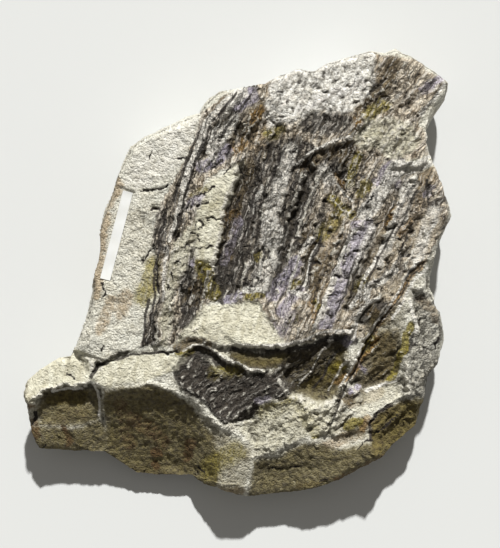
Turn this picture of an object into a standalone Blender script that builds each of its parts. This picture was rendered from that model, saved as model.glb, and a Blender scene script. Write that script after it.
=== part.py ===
"""Fossil lycopsid plate: a slab of rock, its face the bark of a clubmoss tree, lying on its back."""

import bmesh
import bpy
import numpy as np
from mathutils import Matrix, Vector
from mathutils.bvhtree import BVHTree

# Driving dimensions, in metres
PLATE_WIDTH = 0.370
LABEL_WIDTH, LABEL_LENGTH, LABEL_THICKNESS = 0.0088, 0.0780, 0.0004
TOUCHING_GAP = 0.0003
MM = 0.001

# Heights over the back, in millimetres
FACE, RIM, LABEL_BED = 56.0, 27.0, 54.5

# The drawing sheet that places are given on, in steps to the right and steps down
SHEET_WIDTH_OF_PLATE = 421
STEP = PLATE_WIDTH / SHEET_WIDTH_OF_PLATE
SHEET_MIDDLE = (236.5, 274.0)
DRAWN_FROM_OVER = (250.0, 274.0)
FACE_DRAWN_LARGER = 0.024  # than the rim, being nearer the eye
LABEL_MIDDLE, LABEL_LEAN = (116.5, 235.5), 14.6

# The relief is cut on little squares, then thinned to the triangles that its shape needs
SQUARE = 0.003
BLOCK_THICKNESS = 0.024
PLATE_TRIANGLES = 7500
BACK_TRUE_WITHIN = 0.0003

# Flat chips under the edge: height over the back in mm, how far they face down, depth and pitch in metres
EDGE_CHIPS = ((3.0, 45, 0.012, 0.045), (13.0, 18, 0.0045, 0.058))

OUTLINE = (
    (132, 150), (147, 140), (187, 121), (200, 117), (206, 106), (220, 94), (250, 84), (283, 76),
    (296, 71), (312, 75), (326, 66), (350, 58), (368, 54), (381, 57), (393, 52), (410, 59), (434, 76),
    (445, 87), (444, 102), (434, 120), (427, 133), (427, 148), (434, 168), (442, 190), (447, 218),
    (438, 246), (426, 277), (425, 287), (439, 312), (440, 330), (436, 363), (428, 373), (425, 408),
    (416, 431), (396, 445), (370, 462), (340, 476), (312, 488), (262, 495), (228, 496), (198, 488),
    (176, 481), (130, 478), (100, 458), (72, 456), (41, 449), (31, 430), (30, 412), (26, 394),
    (28, 378), (36, 365), (60, 353), (70, 357), (80, 339), (91, 312), (96, 290), (94, 272), (99, 240),
    (112, 200), (119, 180),
)

# --------------------------------------------------------------------------------------------------
# Tools for drawing the relief: every one takes arrays of places, right and down on the sheet.


def smooth(share):
    """Eases from 0 to 1."""
    share = np.clip(share, 0.0, 1.0)
    return share * share * (3.0 - 2.0 * share)


def table_of(seed):
    return np.random.default_rng(seed).random((64, 64))


def noise(u, v, size, seed):
    """Smooth noise from -1 to 1 whose lumps are `size` steps across."""
    table = table_of(seed)
    column, row = np.floor(u / size).astype(int), np.floor(v / size).astype(int)
    f, g = u / size - column, v / size - row
    f, g = smooth(f), smooth(g)
    left, right, top, foot = column % 64, (column + 1) % 64, row % 64, (row + 1) % 64
    upper = table[left, top] * (1 - f) + table[right, top] * f
    lower = table[left, foot] * (1 - f) + table[right, foot] * f
    return (upper * (1 - g) + lower * g) * 2.0 - 1.0


def layered(u, v, size, seed, octaves=4, keep=0.5):
    """Noise on noise, each layer half the size of the last and `keep` times as strong."""
    total, weight, share = 0.0, 0.0, 1.0
    for octave in range(octaves):
        total = total + share * noise(u, v, size / 2**octave, seed + 7 * octave)
        weight += share
        share *= keep
    return total / weight


def terraces(value, steps, sharp=3.0):
    """Turns a smooth rise into flakes with steep little edges."""
    scaled = value * steps
    whole = np.floor(scaled)
    return (whole + smooth((scaled - whole - 0.5) * sharp + 0.5)) / steps


def line_field(u, v, line):
    """Distance to a broken line, above nought on the left of its travel, the run along it, its length."""
    nearest = np.full(u.shape, 1e9)
    signed, run, start = np.zeros(u.shape), np.zeros(u.shape), 0.0
    for (ax, ay), (bx, by) in zip(line, line[1:]):
        dx, dy = bx - ax, by - ay
        length = np.hypot(dx, dy)
        share = np.clip(((u - ax) * dx + (v - ay) * dy) / length**2, 0, 1)
        px, py = u - ax - share * dx, v - ay - share * dy
        distance = np.hypot(px, py)
        closer = distance < nearest
        nearest = np.where(closer, distance, nearest)
        signed = np.where(closer, np.where(dy * px >= dx * py, distance, -distance), signed)
        run = np.where(closer, start + share * length, run)
        start += length
    return signed, run, start


def area_field(u, v, ring):
    """Distance to a closed ring, above nought inside it."""
    nearest = np.full(u.shape, 1e9)
    inside = np.zeros(u.shape, bool)
    for (ax, ay), (bx, by) in zip(ring, ring[1:] + ring[:1]):
        dx, dy = bx - ax, by - ay
        share = np.clip(((u - ax) * dx + (v - ay) * dy) / (dx * dx + dy * dy), 0, 1)
        nearest = np.minimum(nearest, np.hypot(u - ax - share * dx, v - ay - share * dy))
        if dy:
            inside ^= ((ay > v) != (by > v)) & (u < ax + (v - ay) * dx / dy)
    return np.where(inside, nearest, -nearest)


def areas(u, v, rings, soft):
    """1 inside any of the rings and 0 outside, changing over `soft` steps."""
    share = np.zeros(u.shape)
    for ring in rings:
        share = np.maximum(share, smooth(0.5 + area_field(u, v, ring) / soft))
    return share


# --------------------------------------------------------------------------------------------------
# The face's form. Places are (right, down) on the sheet; heights and drops are in millimetres.

FACETS = (
    # broken faces: name, ring, a place on it with its height, rise per 100 steps right, rise per 100
    # down, softness
    ("lower ground", ((222, 432), (262, 402), (300, 392), (345, 385), (366, 340), (380, 316),
     (410, 296), (470, 290), (470, 520), (222, 520)), (330, 420, 44), -6, -16, 8),
    ("knob ground", ((10, 402), (36, 400), (62, 388), (94, 386), (112, 392), (118, 480), (10, 480)),
     (68, 425, 34), 0, -28, 4),
    ("left slab", ((88, 300), (92, 272), (97, 240), (110, 200), (124, 157), (145, 136), (187, 117),
     (206, 110), (186, 158), (172, 185), (158, 212), (152, 250), (158, 290), (150, 345), (128, 352),
     (98, 362), (68, 356)), (130, 250, 56), 3, 2, 10),
    ("top slope", ((203, 112), (250, 76), (300, 64), (376, 48), (368, 112), (330, 125), (285, 128),
     (250, 120)), (320, 100, 56), 0, 13, 14),
    ("right head", ((372, 46), (400, 46), (452, 80), (448, 118), (420, 150), (380, 130), (365, 112)),
     (405, 100, 53), -4, 14, 10),
    ("central floor", ((250, 138), (276, 126), (304, 142), (332, 215), (312, 262), (300, 300),
     (212, 300), (224, 240)), (262, 240, 51), 3, -2, 14),
    ("light patch", ((243, 160), (235, 185), (222, 220), (218, 250), (212, 266), (195, 262),
     (196, 215), (204, 180), (225, 168)), (215, 215, 58), 0, 0, 5),
    ("right margin", ((412, 292), (455, 292), (460, 372), (445, 412), (404, 408), (404, 372),
     (408, 330)), (422, 350, 47), -25, -4, 7),
    ("shaded hollow", ((372, 312), (402, 298), (406, 330), (402, 372), (386, 386), (366, 392),
     (352, 384), (366, 340)), (385, 350, 46), 0, -30, 6),
    ("bright foot facet", ((364, 391), (402, 378), (408, 402), (380, 410), (370, 424), (350, 432),
     (345, 415), (350, 400)), (385, 394, 41), 0, 14, 6),
    ("striated block", ((372, 424), (380, 412), (402, 404), (420, 402), (446, 404), (432, 444),
     (402, 464), (370, 456)), (395, 424, 38), -22, -30, 4),
    ("dim face", ((290, 352), (345, 340), (348, 372), (338, 398), (318, 404), (292, 395), (282, 372)),
     (318, 375, 42), -4, -36, 6),
    ("lower middle", ((236, 428), (262, 408), (300, 398), (332, 402), (340, 438), (300, 441),
     (276, 458), (256, 462), (246, 442)), (290, 430, 43), 6, -12, 9),
    ("bottom band", ((255, 463), (278, 459), (304, 443), (340, 450), (372, 443), (392, 458),
     (384, 478), (336, 500), (262, 515), (246, 510)), (300, 470, 35), 4, -32, 9),
    ("tongue", ((203, 303), (245, 300), (264, 303), (268, 318), (284, 348), (250, 348), (225, 344),
     (205, 338), (190, 335)), (240, 325, 57), 0, 18, 4),
    ("tongue flank", ((190, 333), (206, 322), (218, 320), (236, 345), (208, 342), (176, 344)),
     (206, 334, 56), 6, -10, 2.5),
    ("block top", ((88, 377), (100, 362), (112, 358), (135, 353), (165, 352), (185, 360), (178, 372),
     (150, 381), (102, 389)), (130, 356, 54.5), 0, 12, 4),
    ("knob top", ((12, 400), (16, 376), (36, 350), (62, 338), (80, 350), (94, 380), (75, 388),
     (62, 385), (48, 391), (36, 400)), (60, 372, 45), 13, 30, 5),
    ("knob hollow", ((12, 400), (36, 402), (48, 392), (62, 386), (75, 389), (92, 384), (97, 400),
     (94, 412), (90, 421), (76, 428), (56, 430), (36, 426), (12, 430)), (68, 408, 38), 3, -22, 4),
    ("knob foot", ((12, 430), (36, 426), (54, 431), (76, 430), (94, 421), (104, 432), (106, 475),
     (12, 475)), (104, 440, 29), -3, -34, 8),
)
LEDGES = (
    # name, line with the high side on its left, drop, fade on the high side and on the low side, softness
    ("slab foot", ((88, 378), (98, 362), (108, 359), (128, 352), (165, 352), (190, 346)), 1.2, 9, 5,
     2.0),
    ("tongue lip", ((178, 345), (192, 340), (215, 344), (236, 347), (262, 349), (283, 350), (300, 345),
     (318, 338), (352, 335)), 4.2, 30, 12, 2.0),
    ("second lip", ((184, 353), (200, 345), (210, 348), (220, 357), (232, 365), (248, 370),
     (272, 371)), 7, 6, 24, 1.4),
    ("patch wall", ((212, 296), (214, 275), (221, 240), (228, 205), (236, 186), (243, 160)), 8, 20, 16,
     1.8),
    ("upper ledge", ((296, 170), (303, 161), (314, 151), (328, 148), (344, 145), (356, 140)), 5, 14,
     24, 1.5),
    ("rib step", ((316, 330), (326, 300), (334, 277), (345, 252), (352, 236)), -4, 14, 8, 1.4),
    ("right ledge one", ((362, 296), (369, 286), (384, 278), (396, 270), (399, 256), (411, 240)), 5, 9,
     12, 1.4),
    ("right ledge two", ((340, 352), (352, 332), (357, 320), (362, 309), (372, 301), (388, 296)), 5, 8,
     12, 1.6),
    ("bright crest", ((386, 172), (400, 167), (420, 168), (436, 171)), 4, 9, 10, 1.8),
    ("striated edge", ((370, 442), (371, 424), (379, 412), (402, 404), (416, 404)), 2, 10, 14, 1.4),
    ("head scar", ((358, 112), (372, 98), (371, 76), (374, 56)), 4, 10, 16, 1.5),
    ("foot ledge", ((254, 461), (278, 457), (292, 444), (302, 441), (322, 451), (338, 447)), 2, 12, 12,
     2.0),
    ("foot crack", ((256, 470), (300, 470), (322, 466)), 1.2, 8, 10, 1.4),
    ("middle rib", ((262, 300), (275, 262), (285, 225), (300, 196), (310, 168)), 2.5, 10, 14, 1.6),
    ("scoop side", ((221, 430), (243, 441), (251, 453), (252, 478)), 2.0, 10, 14, 2.5),
    ("pocket rim", ((200, 405), (212, 417), (226, 426), (252, 421), (258, 405), (268, 400), (286, 400),
     (298, 388)), -5, 18, 9, 2.0),
)
SWELLS = (
    # name, middle, half length, half width, lean of the long axis right of upright, height
    ("knob hollow deep", (70, 398), 8, 22, 0, -3),
    ("dark pocket", (228, 398), 24, 30, 60, -8),
    ("pocket arm", (290, 368), 36, 13, 62, -3),
    ("recess", (322, 352), 30, 10, 80, -2),
    ("dark notch", (326, 120), 9, 9, 20, -5),
    ("brown valley", (340, 178), 34, 12, 25, -5),
    ("valley foot", (352, 205), 12, 10, 0, -3),
    ("upper brown scar", (390, 82), 26, 13, 10, -3),
    ("left matrix swell", (132, 300), 50, 30, 10, 2),
    ("band hollow", (190, 290), 34, 12, 18, -5),
    ("wedge hollow", (150, 328), 22, 6, 12, -4),
    ("head knob", (436, 98), 16, 8, 10, 3),
    ("crest swell", (415, 178), 10, 22, 80, 3),
)
SEAMS = (
    # name, line, height (below nought for a crack), half width
    ("black groove", ((312, 164), (303, 190), (296, 210), (288, 236), (280, 264)), -4.5, 5.0),
    ("tan groove", ((332, 214), (320, 240), (310, 262), (302, 290)), -2.5, 3.0),
    ("band groove", ((206, 150), (196, 172), (188, 200), (182, 226)), -2.5, 4.0),
    ("rib groove", ((384, 236), (368, 262), (354, 290), (346, 316)), -3.0, 4.0),
    ("outer groove", ((420, 214), (406, 240), (392, 262), (378, 282)), -3.0, 4.0),
    ("long crack", ((420, 260), (410, 275), (403, 288), (388, 312), (371, 335), (358, 362), (345, 385),
     (335, 410), (328, 432)), -4, 1.6),
    ("slab crack", ((93, 375), (99, 364), (108, 361)), -6, 2.2),
    ("slab crack, right", ((106, 360), (116, 355), (131, 351)), -4, 1.8),
    ("white rib", ((240, 95), (210, 130), (197, 155), (190, 170), (183, 200), (172, 235)), 2.4, 2.6),
    ("pocket rib", ((325, 347), (312, 368), (300, 388)), 2.5, 2.0),
    ("bare stone line", ((160, 262), (157, 295)), -2.0, 1.2),
    ("head groove", ((440, 88), (420, 116)), -1.8, 1.6),
    ("knob ridge", ((92, 380), (97, 392), (98, 405), (95, 420)), 6.0, 5.0),
    ("bare stone crack", ((143, 192), (158, 188), (172, 184)), -1.5, 1.2),
    ("bare stone nick", ((150, 209), (162, 206)), -1.5, 1.2),
)
SCOOP_BROW = (
    (102, 423), (99, 412), (102, 389), (150, 382), (170, 389), (190, 400), (205, 411), (221, 430),
    (243, 441), (250, 452), (254, 475), (250, 520), (104, 520),
)

BARK = (
    (203, 116), (226, 98), (262, 84), (300, 74), (330, 66), (372, 58), (412, 62), (440, 88), (418, 122),
    (426, 166), (442, 190), (445, 218), (434, 246), (421, 262), (405, 290), (390, 314), (366, 338),
    (350, 338), (318, 338), (284, 348), (268, 320), (262, 304), (212, 300), (198, 316), (184, 336),
    (170, 345), (141, 346), (150, 312), (158, 296), (158, 262), (151, 240), (158, 212), (172, 185),
    (186, 158),
)
POCKET = (
    (172, 368), (186, 352), (200, 352), (216, 372), (246, 374), (272, 372), (292, 350), (320, 340),
    (350, 338), (330, 366), (304, 384), (286, 398), (262, 402), (254, 418), (226, 425), (212, 414),
    (200, 400), (184, 392),
)
PATCH = ((246, 160), (238, 186), (226, 212), (221, 240), (216, 268), (206, 272), (196, 262), (196, 215),
         (204, 182), (222, 168))
HACKLED = (
    ((374, 54), (412, 56), (440, 86), (420, 118), (388, 112), (362, 112), (372, 92)),
    ((412, 288), (440, 292), (446, 372), (430, 425), (404, 405), (402, 372), (408, 330)),
    ((240, 428), (262, 408), (300, 398), (334, 400), (344, 440), (300, 440), (276, 456), (258, 460),
     (246, 440)),
    ((352, 120), (392, 110), (420, 128), (424, 160), (388, 168), (350, 160)),
)
RIBBED = (
    ((316, 196), (340, 196), (360, 200), (396, 164), (440, 170), (446, 220), (434, 250), (400, 302),
     (366, 338), (318, 338), (294, 322), (300, 270)),
    ((268, 84), (300, 72), (372, 56), (372, 92), (352, 112), (300, 122), (270, 128)),
)
CALM = (
    ((204, 304), (245, 301), (262, 303), (268, 318), (282, 346), (250, 346), (228, 342), (214, 322),
     (205, 320)),
    ((90, 378), (102, 364), (135, 356), (175, 358), (180, 368), (150, 380), (102, 388)),
    ((100, 423), (102, 390), (150, 384), (190, 401), (220, 430), (246, 443), (252, 478), (240, 500),
     (100, 480)),
    ((28, 400), (30, 372), (60, 348), (90, 372), (96, 400), (90, 420), (40, 424)),
    ((292, 352), (340, 345), (344, 372), (334, 396), (316, 402), (292, 395)),
    ((256, 464), (304, 445), (340, 452), (370, 448), (336, 484), (262, 500)),
    ((368, 340), (402, 326), (400, 376), (402, 392), (372, 402), (360, 392)),
)
SCAR_ROW, SCAR_PITCH = 13.0, 11.5
RIB_WIDTH, RIB_HEIGHT = 40.0, 4.2


def facet(z, u, v, ring, place, right, down, soft):
    plane = place[2] + right * (u - place[0]) / 100 + down * (v - place[1]) / 100
    return z + (plane - z) * smooth(0.5 + area_field(u, v, ring) / (2 * soft))


def ledge(z, u, v, line, drop, high_fade, low_fade, soft, taper=10.0):
    signed, run, length = line_field(u, v, line)
    ends = smooth(run / taper) * smooth((length - run) / taper)
    fade = np.where(signed > 0, high_fade, low_fade)
    return z + 0.6 * drop * np.tanh(signed / soft) * np.exp(-np.abs(signed) / fade) * ends


def swell(z, u, v, middle, half_long, half_wide, lean, height):
    lean = np.radians(lean)
    x, y = u - middle[0], v - middle[1]
    along, across = x * np.sin(lean) - y * np.cos(lean), x * np.cos(lean) + y * np.sin(lean)
    return z + height * np.exp(-1.2 * ((along / half_long) ** 2 + (across / half_wide) ** 2))


def seam(z, u, v, line, height, half_wide, taper=6.0):
    signed, run, length = line_field(u, v, line)
    ends = smooth(run / taper) * smooth((length - run) / taper)
    return z + height * np.exp(-((signed / half_wide) ** 2)) * ends


def scoop(z, u, v):
    """The shell-shaped break that falls from its brow to the foot of the plate, flatter on the right."""
    brow, brow_height = 388, 53.0
    fall = brow_height - 0.46 * (v - brow) + 4.0 * (1 - smooth((v - brow) / 16))
    fall = fall + (0.28 * (v - brow) + 3.0) * smooth((u - 178) / 50)
    soft = 5 + 16 * smooth((u - 170) / 35)
    return z + (fall - z) * smooth(0.5 + area_field(u, v, SCOOP_BROW) / soft)


def growth_line(u, v):
    """Names the bark's line of growth through each place by where it crosses the middle of the sheet."""
    line = u
    for _ in range(6):
        lean = 0.24 + 0.30 * smooth((line - 200) / 220)
        line = u - (275 - v) * lean - 0.002 * np.maximum(175 - v, 0) ** 2
    return line


def leaf_scars(line, v):
    """Pits in rows along the lines of growth, every other row half a pitch on, from 0 to 1 deep."""
    one, two, three = table_of(71), table_of(72), table_of(73)
    depth = np.zeros(line.shape)
    for step in (0, 1):
        row = np.floor(line / SCAR_ROW).astype(int) + step
        shift = 0.5 * (row % 2)
        place = np.round(v / SCAR_PITCH - shift).astype(int)
        i, j = row % 64, place % 64
        across = line - (row + 0.25 * (one[i, j] - 0.5)) * SCAR_ROW
        down = v - (place + shift + 0.35 * (two[j, i] - 0.5)) * SCAR_PITCH
        size = 0.75 + 0.6 * two[i, j]
        pit = np.exp(-(((across / (2.6 * size)) ** 2 + (down / (1.9 * size)) ** 2) ** 1.3))
        depth = np.maximum(depth, pit * (three[i, j] > 0.22) * (0.5 + 0.5 * one[j, i]))
    return depth


def broad_ribs(line, u, v):
    """Long ribs, each steep on its left and falling gently to the right, some far fainter than others."""
    phase = (line + 7 * noise(u, v, 60, 43) + 2 * noise(u, v, 18, 44)) / RIB_WIDTH
    share = phase - np.floor(phase)
    strength = 0.35 + 0.65 * smooth(0.5 + layered(line, 0.3 * v, 60, 45, octaves=2))
    return RIB_HEIGHT * strength * (smooth(share / 0.16) * (1 - share) - 0.45)


def texture(u, v):
    """Flakes, ribs and scars on the bark, lumps on the bare stone, hackles where it broke roughly."""
    line = growth_line(u, v)
    bark = areas(u, v, (BARK, POCKET), 5) * (1 - areas(u, v, (PATCH,), 4))
    calm = areas(u, v, CALM, 6)
    flakes = 2.4 * terraces(layered(line, 0.45 * v, 14, 41, octaves=3), 3.5)
    ribs = 0.55 * layered(line, 0.12 * v, 2.8, 42, octaves=2) + 0.45 * np.cos(2 * np.pi * line / SCAR_ROW)
    scars = (1.2 + 1.4 * areas(u, v, RIBBED, 10)) * leaf_scars(line, v)
    on_bark = flakes + ribs + broad_ribs(line, u, v) - scars
    on_stone = 1.0 * layered(u, v, 26, 51) + 0.7 * terraces(layered(u, v, 10, 52), 3)
    hackles = 2.6 * (0.5 - np.abs(layered(u, v, 9, 61, octaves=3, keep=0.6)))
    hackles = hackles + 1.2 * terraces(layered(u, v, 7, 62), 3)
    rough = bark * on_bark + (1 - bark) * on_stone + areas(u, v, HACKLED, 10) * hackles
    return rough * (1 - 0.85 * calm) + calm * 0.35 * layered(u, v, 12, 81)


def pushed(u, v):
    """Places pushed a little out of true, so that no drawn line runs straight."""
    right = u + 1.6 * noise(u, v, 14, 11) + 0.8 * noise(u, v, 6, 12)
    down = v + 1.6 * noise(u, v, 14, 13) + 0.8 * noise(u, v, 6, 14)
    return right, down


def face_height(u, v):
    """Height of the fossil face."""
    right, down = pushed(u, v)
    z = FACE + 0.010 * (u - 236) - 0.004 * (v - 275)
    for _, ring, place, rise_right, rise_down, soft in FACETS:
        z = facet(z, right, down, ring, place, rise_right, rise_down, soft)
    z = scoop(z, right, down)
    for _, middle, half_long, half_wide, lean, height in SWELLS:
        z = swell(z, right, down, middle, half_long, half_wide, lean, height)
    for _, line, drop, high_fade, low_fade, soft in LEDGES:
        z = ledge(z, right, down, line, drop, high_fade, low_fade, soft)
    for _, line, height, half_wide in SEAMS:
        z = seam(z, right, down, line, height, half_wide)
    return z + texture(right, down)


def round_over(z, u, v, edge):
    """Brings the face down to the lower rim, by a steep side and a bevel, over a band of varied width."""
    width = 7.0 + 4.0 * noise(u, v, 26, 31) + 1.5 * noise(u, v, 9, 32)
    rim = np.minimum(RIM + 6.0 * noise(u, v, 60, 33) + 2.0 * noise(u, v, 16, 34), z - 4.0)
    bevel = 0.5 + 0.3 * noise(u, v, 34, 35)
    share = np.interp(edge / width, (0, 0.12, 0.5, 1), (0, 0.55, 0.85, 1))
    return rim + (z - rim) * share ** (0.7 + 0.6 * bevel)


def back_height(u, v, edge):
    """The split back: flat, with flakes gone from its margin and a few shallow scabs off the middle."""
    margin = 9.0 * (1 - smooth((edge - 3) / 22)) * terraces(0.6 + 0.5 * layered(u, v, 30, 91), 3)
    scabs = 3.0 * smooth((layered(u, v, 70, 95) - 0.34) / 0.03)
    return np.maximum(margin + scabs, 0.0)


def side_pull(u, v, z, edge, level):
    """How far the sides draw in, in millimetres: below the rim to the back, and ragged along the beds."""
    undercut = (11.0 + 6.0 * noise(u, v, 55, 101)) * (1 - level) ** 1.5
    bedding = 1.4 * terraces(noise(0.12 * u + 40, z + 0.15 * v, 5.0, 102), 2)
    ragged = 2.2 * layered(u + 1.3 * z, v - 1.1 * z, 18, 103)
    return (undercut + bedding + ragged - 1.4) * (1 - smooth(edge / 24))


def label_bed(z, u, v):
    """The strip of level stone that the label is stuck to."""
    lean = np.radians(LABEL_LEAN)
    x, y = u - LABEL_MIDDLE[0], v - LABEL_MIDDLE[1]
    across = np.abs(x * np.cos(lean) + y * np.sin(lean)) - LABEL_WIDTH / (2 * STEP)
    along = np.abs(x * np.sin(lean) - y * np.cos(lean)) - LABEL_LENGTH / (2 * STEP)
    outside = np.maximum(across, along)
    level_margin, easing = 1.0, 3.0
    return z + (LABEL_BED - z) * (1 - smooth((outside - level_margin) / easing))


# --------------------------------------------------------------------------------------------------
# The solids


def sheet_place(right, down):
    """A place on the sheet as metres from the middle of the plate."""
    return (right - SHEET_MIDDLE[0]) * STEP, (SHEET_MIDDLE[1] - down) * STEP


def evaluated_mesh(obj):
    """The object's mesh with its modifiers or curve made real; the object itself is removed."""
    graph = bpy.context.evaluated_depsgraph_get()
    mesh = bpy.data.meshes.new_from_object(obj.evaluated_get(graph))
    bpy.data.objects.remove(obj)
    return mesh


def outline_block():
    """The plate's outline as a flat block cut into little squares all over."""
    curve = bpy.data.curves.new("outline", "CURVE")
    curve.dimensions = "2D"
    curve.fill_mode = "BOTH"
    curve.extrude = BLOCK_THICKNESS / 2
    spline = curve.splines.new("POLY")
    spline.points.add(len(OUTLINE) - 1)
    for point, place in zip(spline.points, OUTLINE):
        point.co = (*sheet_place(*place), 0.0, 1.0)
    spline.use_cyclic_u = True
    outline = bpy.data.objects.new("outline", curve)
    bpy.context.scene.collection.objects.link(outline)
    mesh = evaluated_mesh(outline)
    weld = bmesh.new()
    weld.from_mesh(mesh)
    bmesh.ops.remove_doubles(weld, verts=weld.verts, dist=1e-6)
    bmesh.ops.recalc_face_normals(weld, faces=weld.faces)
    weld.to_mesh(mesh)
    weld.free()
    block = bpy.data.objects.new("block", mesh)
    bpy.context.scene.collection.objects.link(block)
    squares = block.modifiers.new("little squares", "REMESH")
    squares.mode = "VOXEL"
    squares.voxel_size = SQUARE
    return evaluated_mesh(block)


def chipped(points):
    """Takes flat chips off the underside of the edge, all round, each turned and tilted by chance."""
    ring = np.array([sheet_place(*place) for place in OUTLINE])
    sides = np.roll(ring, -1, axis=0) - ring
    run = np.append(0.0, np.cumsum(np.hypot(*sides.T)))
    chance = np.random.default_rng(201)
    for height, facing_down, depth, pitch in EDGE_CHIPS:
        for place in np.arange(0, run[-1], pitch) + chance.uniform(-0.3, 0.3) * pitch:
            side = (np.searchsorted(run, place % run[-1], side="right") - 1) % len(ring)
            share = (place % run[-1] - run[side]) / (run[side + 1] - run[side])
            middle = Vector((*(ring[side] + share * sides[side]), height * MM))
            turn = Matrix.Rotation(np.radians(chance.uniform(-22, 22)), 3, "Z")
            outward = turn @ Vector((-sides[side][1], sides[side][0], 0)).normalized()
            tilt = np.radians(facing_down + chance.uniform(-8, 12))
            normal = np.array(outward * np.cos(tilt) - Vector((0, 0, np.sin(tilt))))
            away = points - np.array(middle)
            beyond = (away @ normal + chance.uniform(0.5, 1.0) * depth).clip(0.0, 1.5 * depth)
            near = smooth(2.0 - 1.4 * np.linalg.norm(away, axis=1) / pitch)
            points = points - np.outer(near * beyond, normal)
    points[:, 2] = points[:, 2].clip(0.0)
    return points


def stone_surface(points):
    """Moves each point of the flat block to where the stone's surface lies."""
    x, y, z = points.T
    level = smooth(0.5 + z / (BLOCK_THICKNESS - SQUARE))
    rim_u, rim_v = SHEET_MIDDLE[0] + x / STEP, SHEET_MIDDLE[1] - y / STEP
    edge = np.maximum(area_field(rim_u, rim_v, OUTLINE), 0.0)
    larger = 1 + FACE_DRAWN_LARGER * smooth(edge / 20)
    u = DRAWN_FROM_OVER[0] + (rim_u - DRAWN_FROM_OVER[0]) * larger
    v = DRAWN_FROM_OVER[1] + (rim_v - DRAWN_FROM_OVER[1]) * larger
    face = label_bed(round_over(face_height(u, v), u, v, edge), u, v)
    back = back_height(rim_u, rim_v, edge)
    height = back + (face - back) * level
    pull = side_pull(rim_u, rim_v, height, edge, level) * MM
    shrink = 1 - pull / np.hypot(x, y).clip(0.02)
    return chipped(np.stack([x * shrink, y * shrink, height * MM], axis=1))


def points_of(mesh):
    points = np.empty(len(mesh.vertices) * 3)
    mesh.vertices.foreach_get("co", points)
    return points.reshape(-1, 3)


def make_plate(material, collection):
    """The plate, centred on the origin and lying on its flat back, and how far centring moved it."""
    mesh = outline_block()
    mesh.vertices.foreach_set("co", stone_surface(points_of(mesh)).ravel())
    fine = bpy.data.objects.new("fine plate", mesh)
    bpy.context.scene.collection.objects.link(fine)
    thin = fine.modifiers.new("fewer triangles", "DECIMATE")
    thin.ratio = PLATE_TRIANGLES / (2 * len(mesh.polygons))
    mesh = evaluated_mesh(fine)
    mesh.name = "plate"
    points = points_of(mesh)
    points[points[:, 2] < BACK_TRUE_WITHIN, 2] = 0.0
    middle = (points.min(axis=0) + points.max(axis=0)) / 2
    points[:, :2] -= middle[:2]
    mesh.vertices.foreach_set("co", points.ravel())
    mesh.materials.append(material)
    plate = bpy.data.objects.new("plate", mesh)
    collection.objects.link(plate)
    return plate, middle[:2]


def make_label(plate, middle, material, collection):
    """A strip of paper laid on its bed, a hair above the highest stone under it."""
    bpy.ops.mesh.primitive_cube_add(size=1.0)
    label = bpy.context.object
    label.name = label.data.name = "paper_label"
    label.data.transform(Matrix.Diagonal((LABEL_WIDTH, LABEL_LENGTH, LABEL_THICKNESS, 1.0)))
    for holder in list(label.users_collection):
        holder.objects.unlink(label)
    collection.objects.link(label)
    label.data.materials.append(material)
    pairs = zip(DRAWN_FROM_OVER, LABEL_MIDDLE)
    at_rim = [eye + (place - eye) / (1 + FACE_DRAWN_LARGER) for eye, place in pairs]
    x, y = np.array(sheet_place(*at_rim)) - middle
    turn = Matrix.Rotation(-np.radians(LABEL_LEAN), 4, "Z")
    stone = BVHTree.FromObject(plate, bpy.context.evaluated_depsgraph_get())
    highest = 0.0
    for across in np.linspace(-0.5, 0.5, 7):
        for along in np.linspace(-0.5, 0.5, 61):
            spot = turn @ Vector((across * LABEL_WIDTH, along * LABEL_LENGTH, 0))
            above = Vector((x, y, 2 * FACE * MM)) + spot
            highest = max(highest, stone.ray_cast(above, Vector((0, 0, -1)))[0].z)
    label.rotation_euler.z = -np.radians(LABEL_LEAN)
    label.location = (x, y, highest + TOUCHING_GAP + LABEL_THICKNESS / 2)


def make_material(name, colour, roughness):
    material = bpy.data.materials.new(name)
    material.use_nodes = True
    surface = material.node_tree.nodes["Principled BSDF"]
    surface.inputs["Base Color"].default_value = (*colour, 1.0)
    surface.inputs["Roughness"].default_value = roughness
    surface.inputs["Metallic"].default_value = 0.0
    material.diffuse_color = (*colour, 1.0)
    return material


def main():
    for obj in list(bpy.data.objects):
        bpy.data.objects.remove(obj)
    parts = bpy.data.collections.new("fossil lycopsid plate")
    bpy.context.scene.collection.children.link(parts)
    stone = make_material("grey green siltstone", (0.36, 0.34, 0.27), 0.9)
    paper = make_material("white paper", (0.84, 0.85, 0.87), 0.8)
    plate, middle = make_plate(stone, parts)
    make_label(plate, middle, paper, parts)


main()
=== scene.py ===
"""The look of the fossil lycopsid plate: broken stone, dark film on its bark, stains, and a paper strip."""

import bmesh
import bpy
import numpy as np
from mathutils import Matrix, Vector
from mathutils.bvhtree import BVHTree


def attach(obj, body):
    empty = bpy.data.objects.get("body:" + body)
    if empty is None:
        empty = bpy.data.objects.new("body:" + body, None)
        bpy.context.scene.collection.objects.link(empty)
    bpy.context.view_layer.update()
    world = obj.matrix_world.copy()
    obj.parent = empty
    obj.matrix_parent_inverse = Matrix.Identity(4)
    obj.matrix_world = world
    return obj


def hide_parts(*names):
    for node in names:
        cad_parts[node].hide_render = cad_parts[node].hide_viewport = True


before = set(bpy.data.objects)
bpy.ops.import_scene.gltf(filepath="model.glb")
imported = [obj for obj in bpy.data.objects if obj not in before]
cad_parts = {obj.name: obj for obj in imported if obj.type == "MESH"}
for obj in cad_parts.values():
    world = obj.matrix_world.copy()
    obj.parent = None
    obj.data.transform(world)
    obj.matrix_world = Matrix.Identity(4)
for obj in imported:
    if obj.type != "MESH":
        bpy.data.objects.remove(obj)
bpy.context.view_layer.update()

# Driving dimensions, in metres
PLATE_WIDTH = 0.370
LABEL_WIDTH, LABEL_LENGTH, LABEL_THICKNESS = 0.0088, 0.0780, 0.0003
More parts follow.
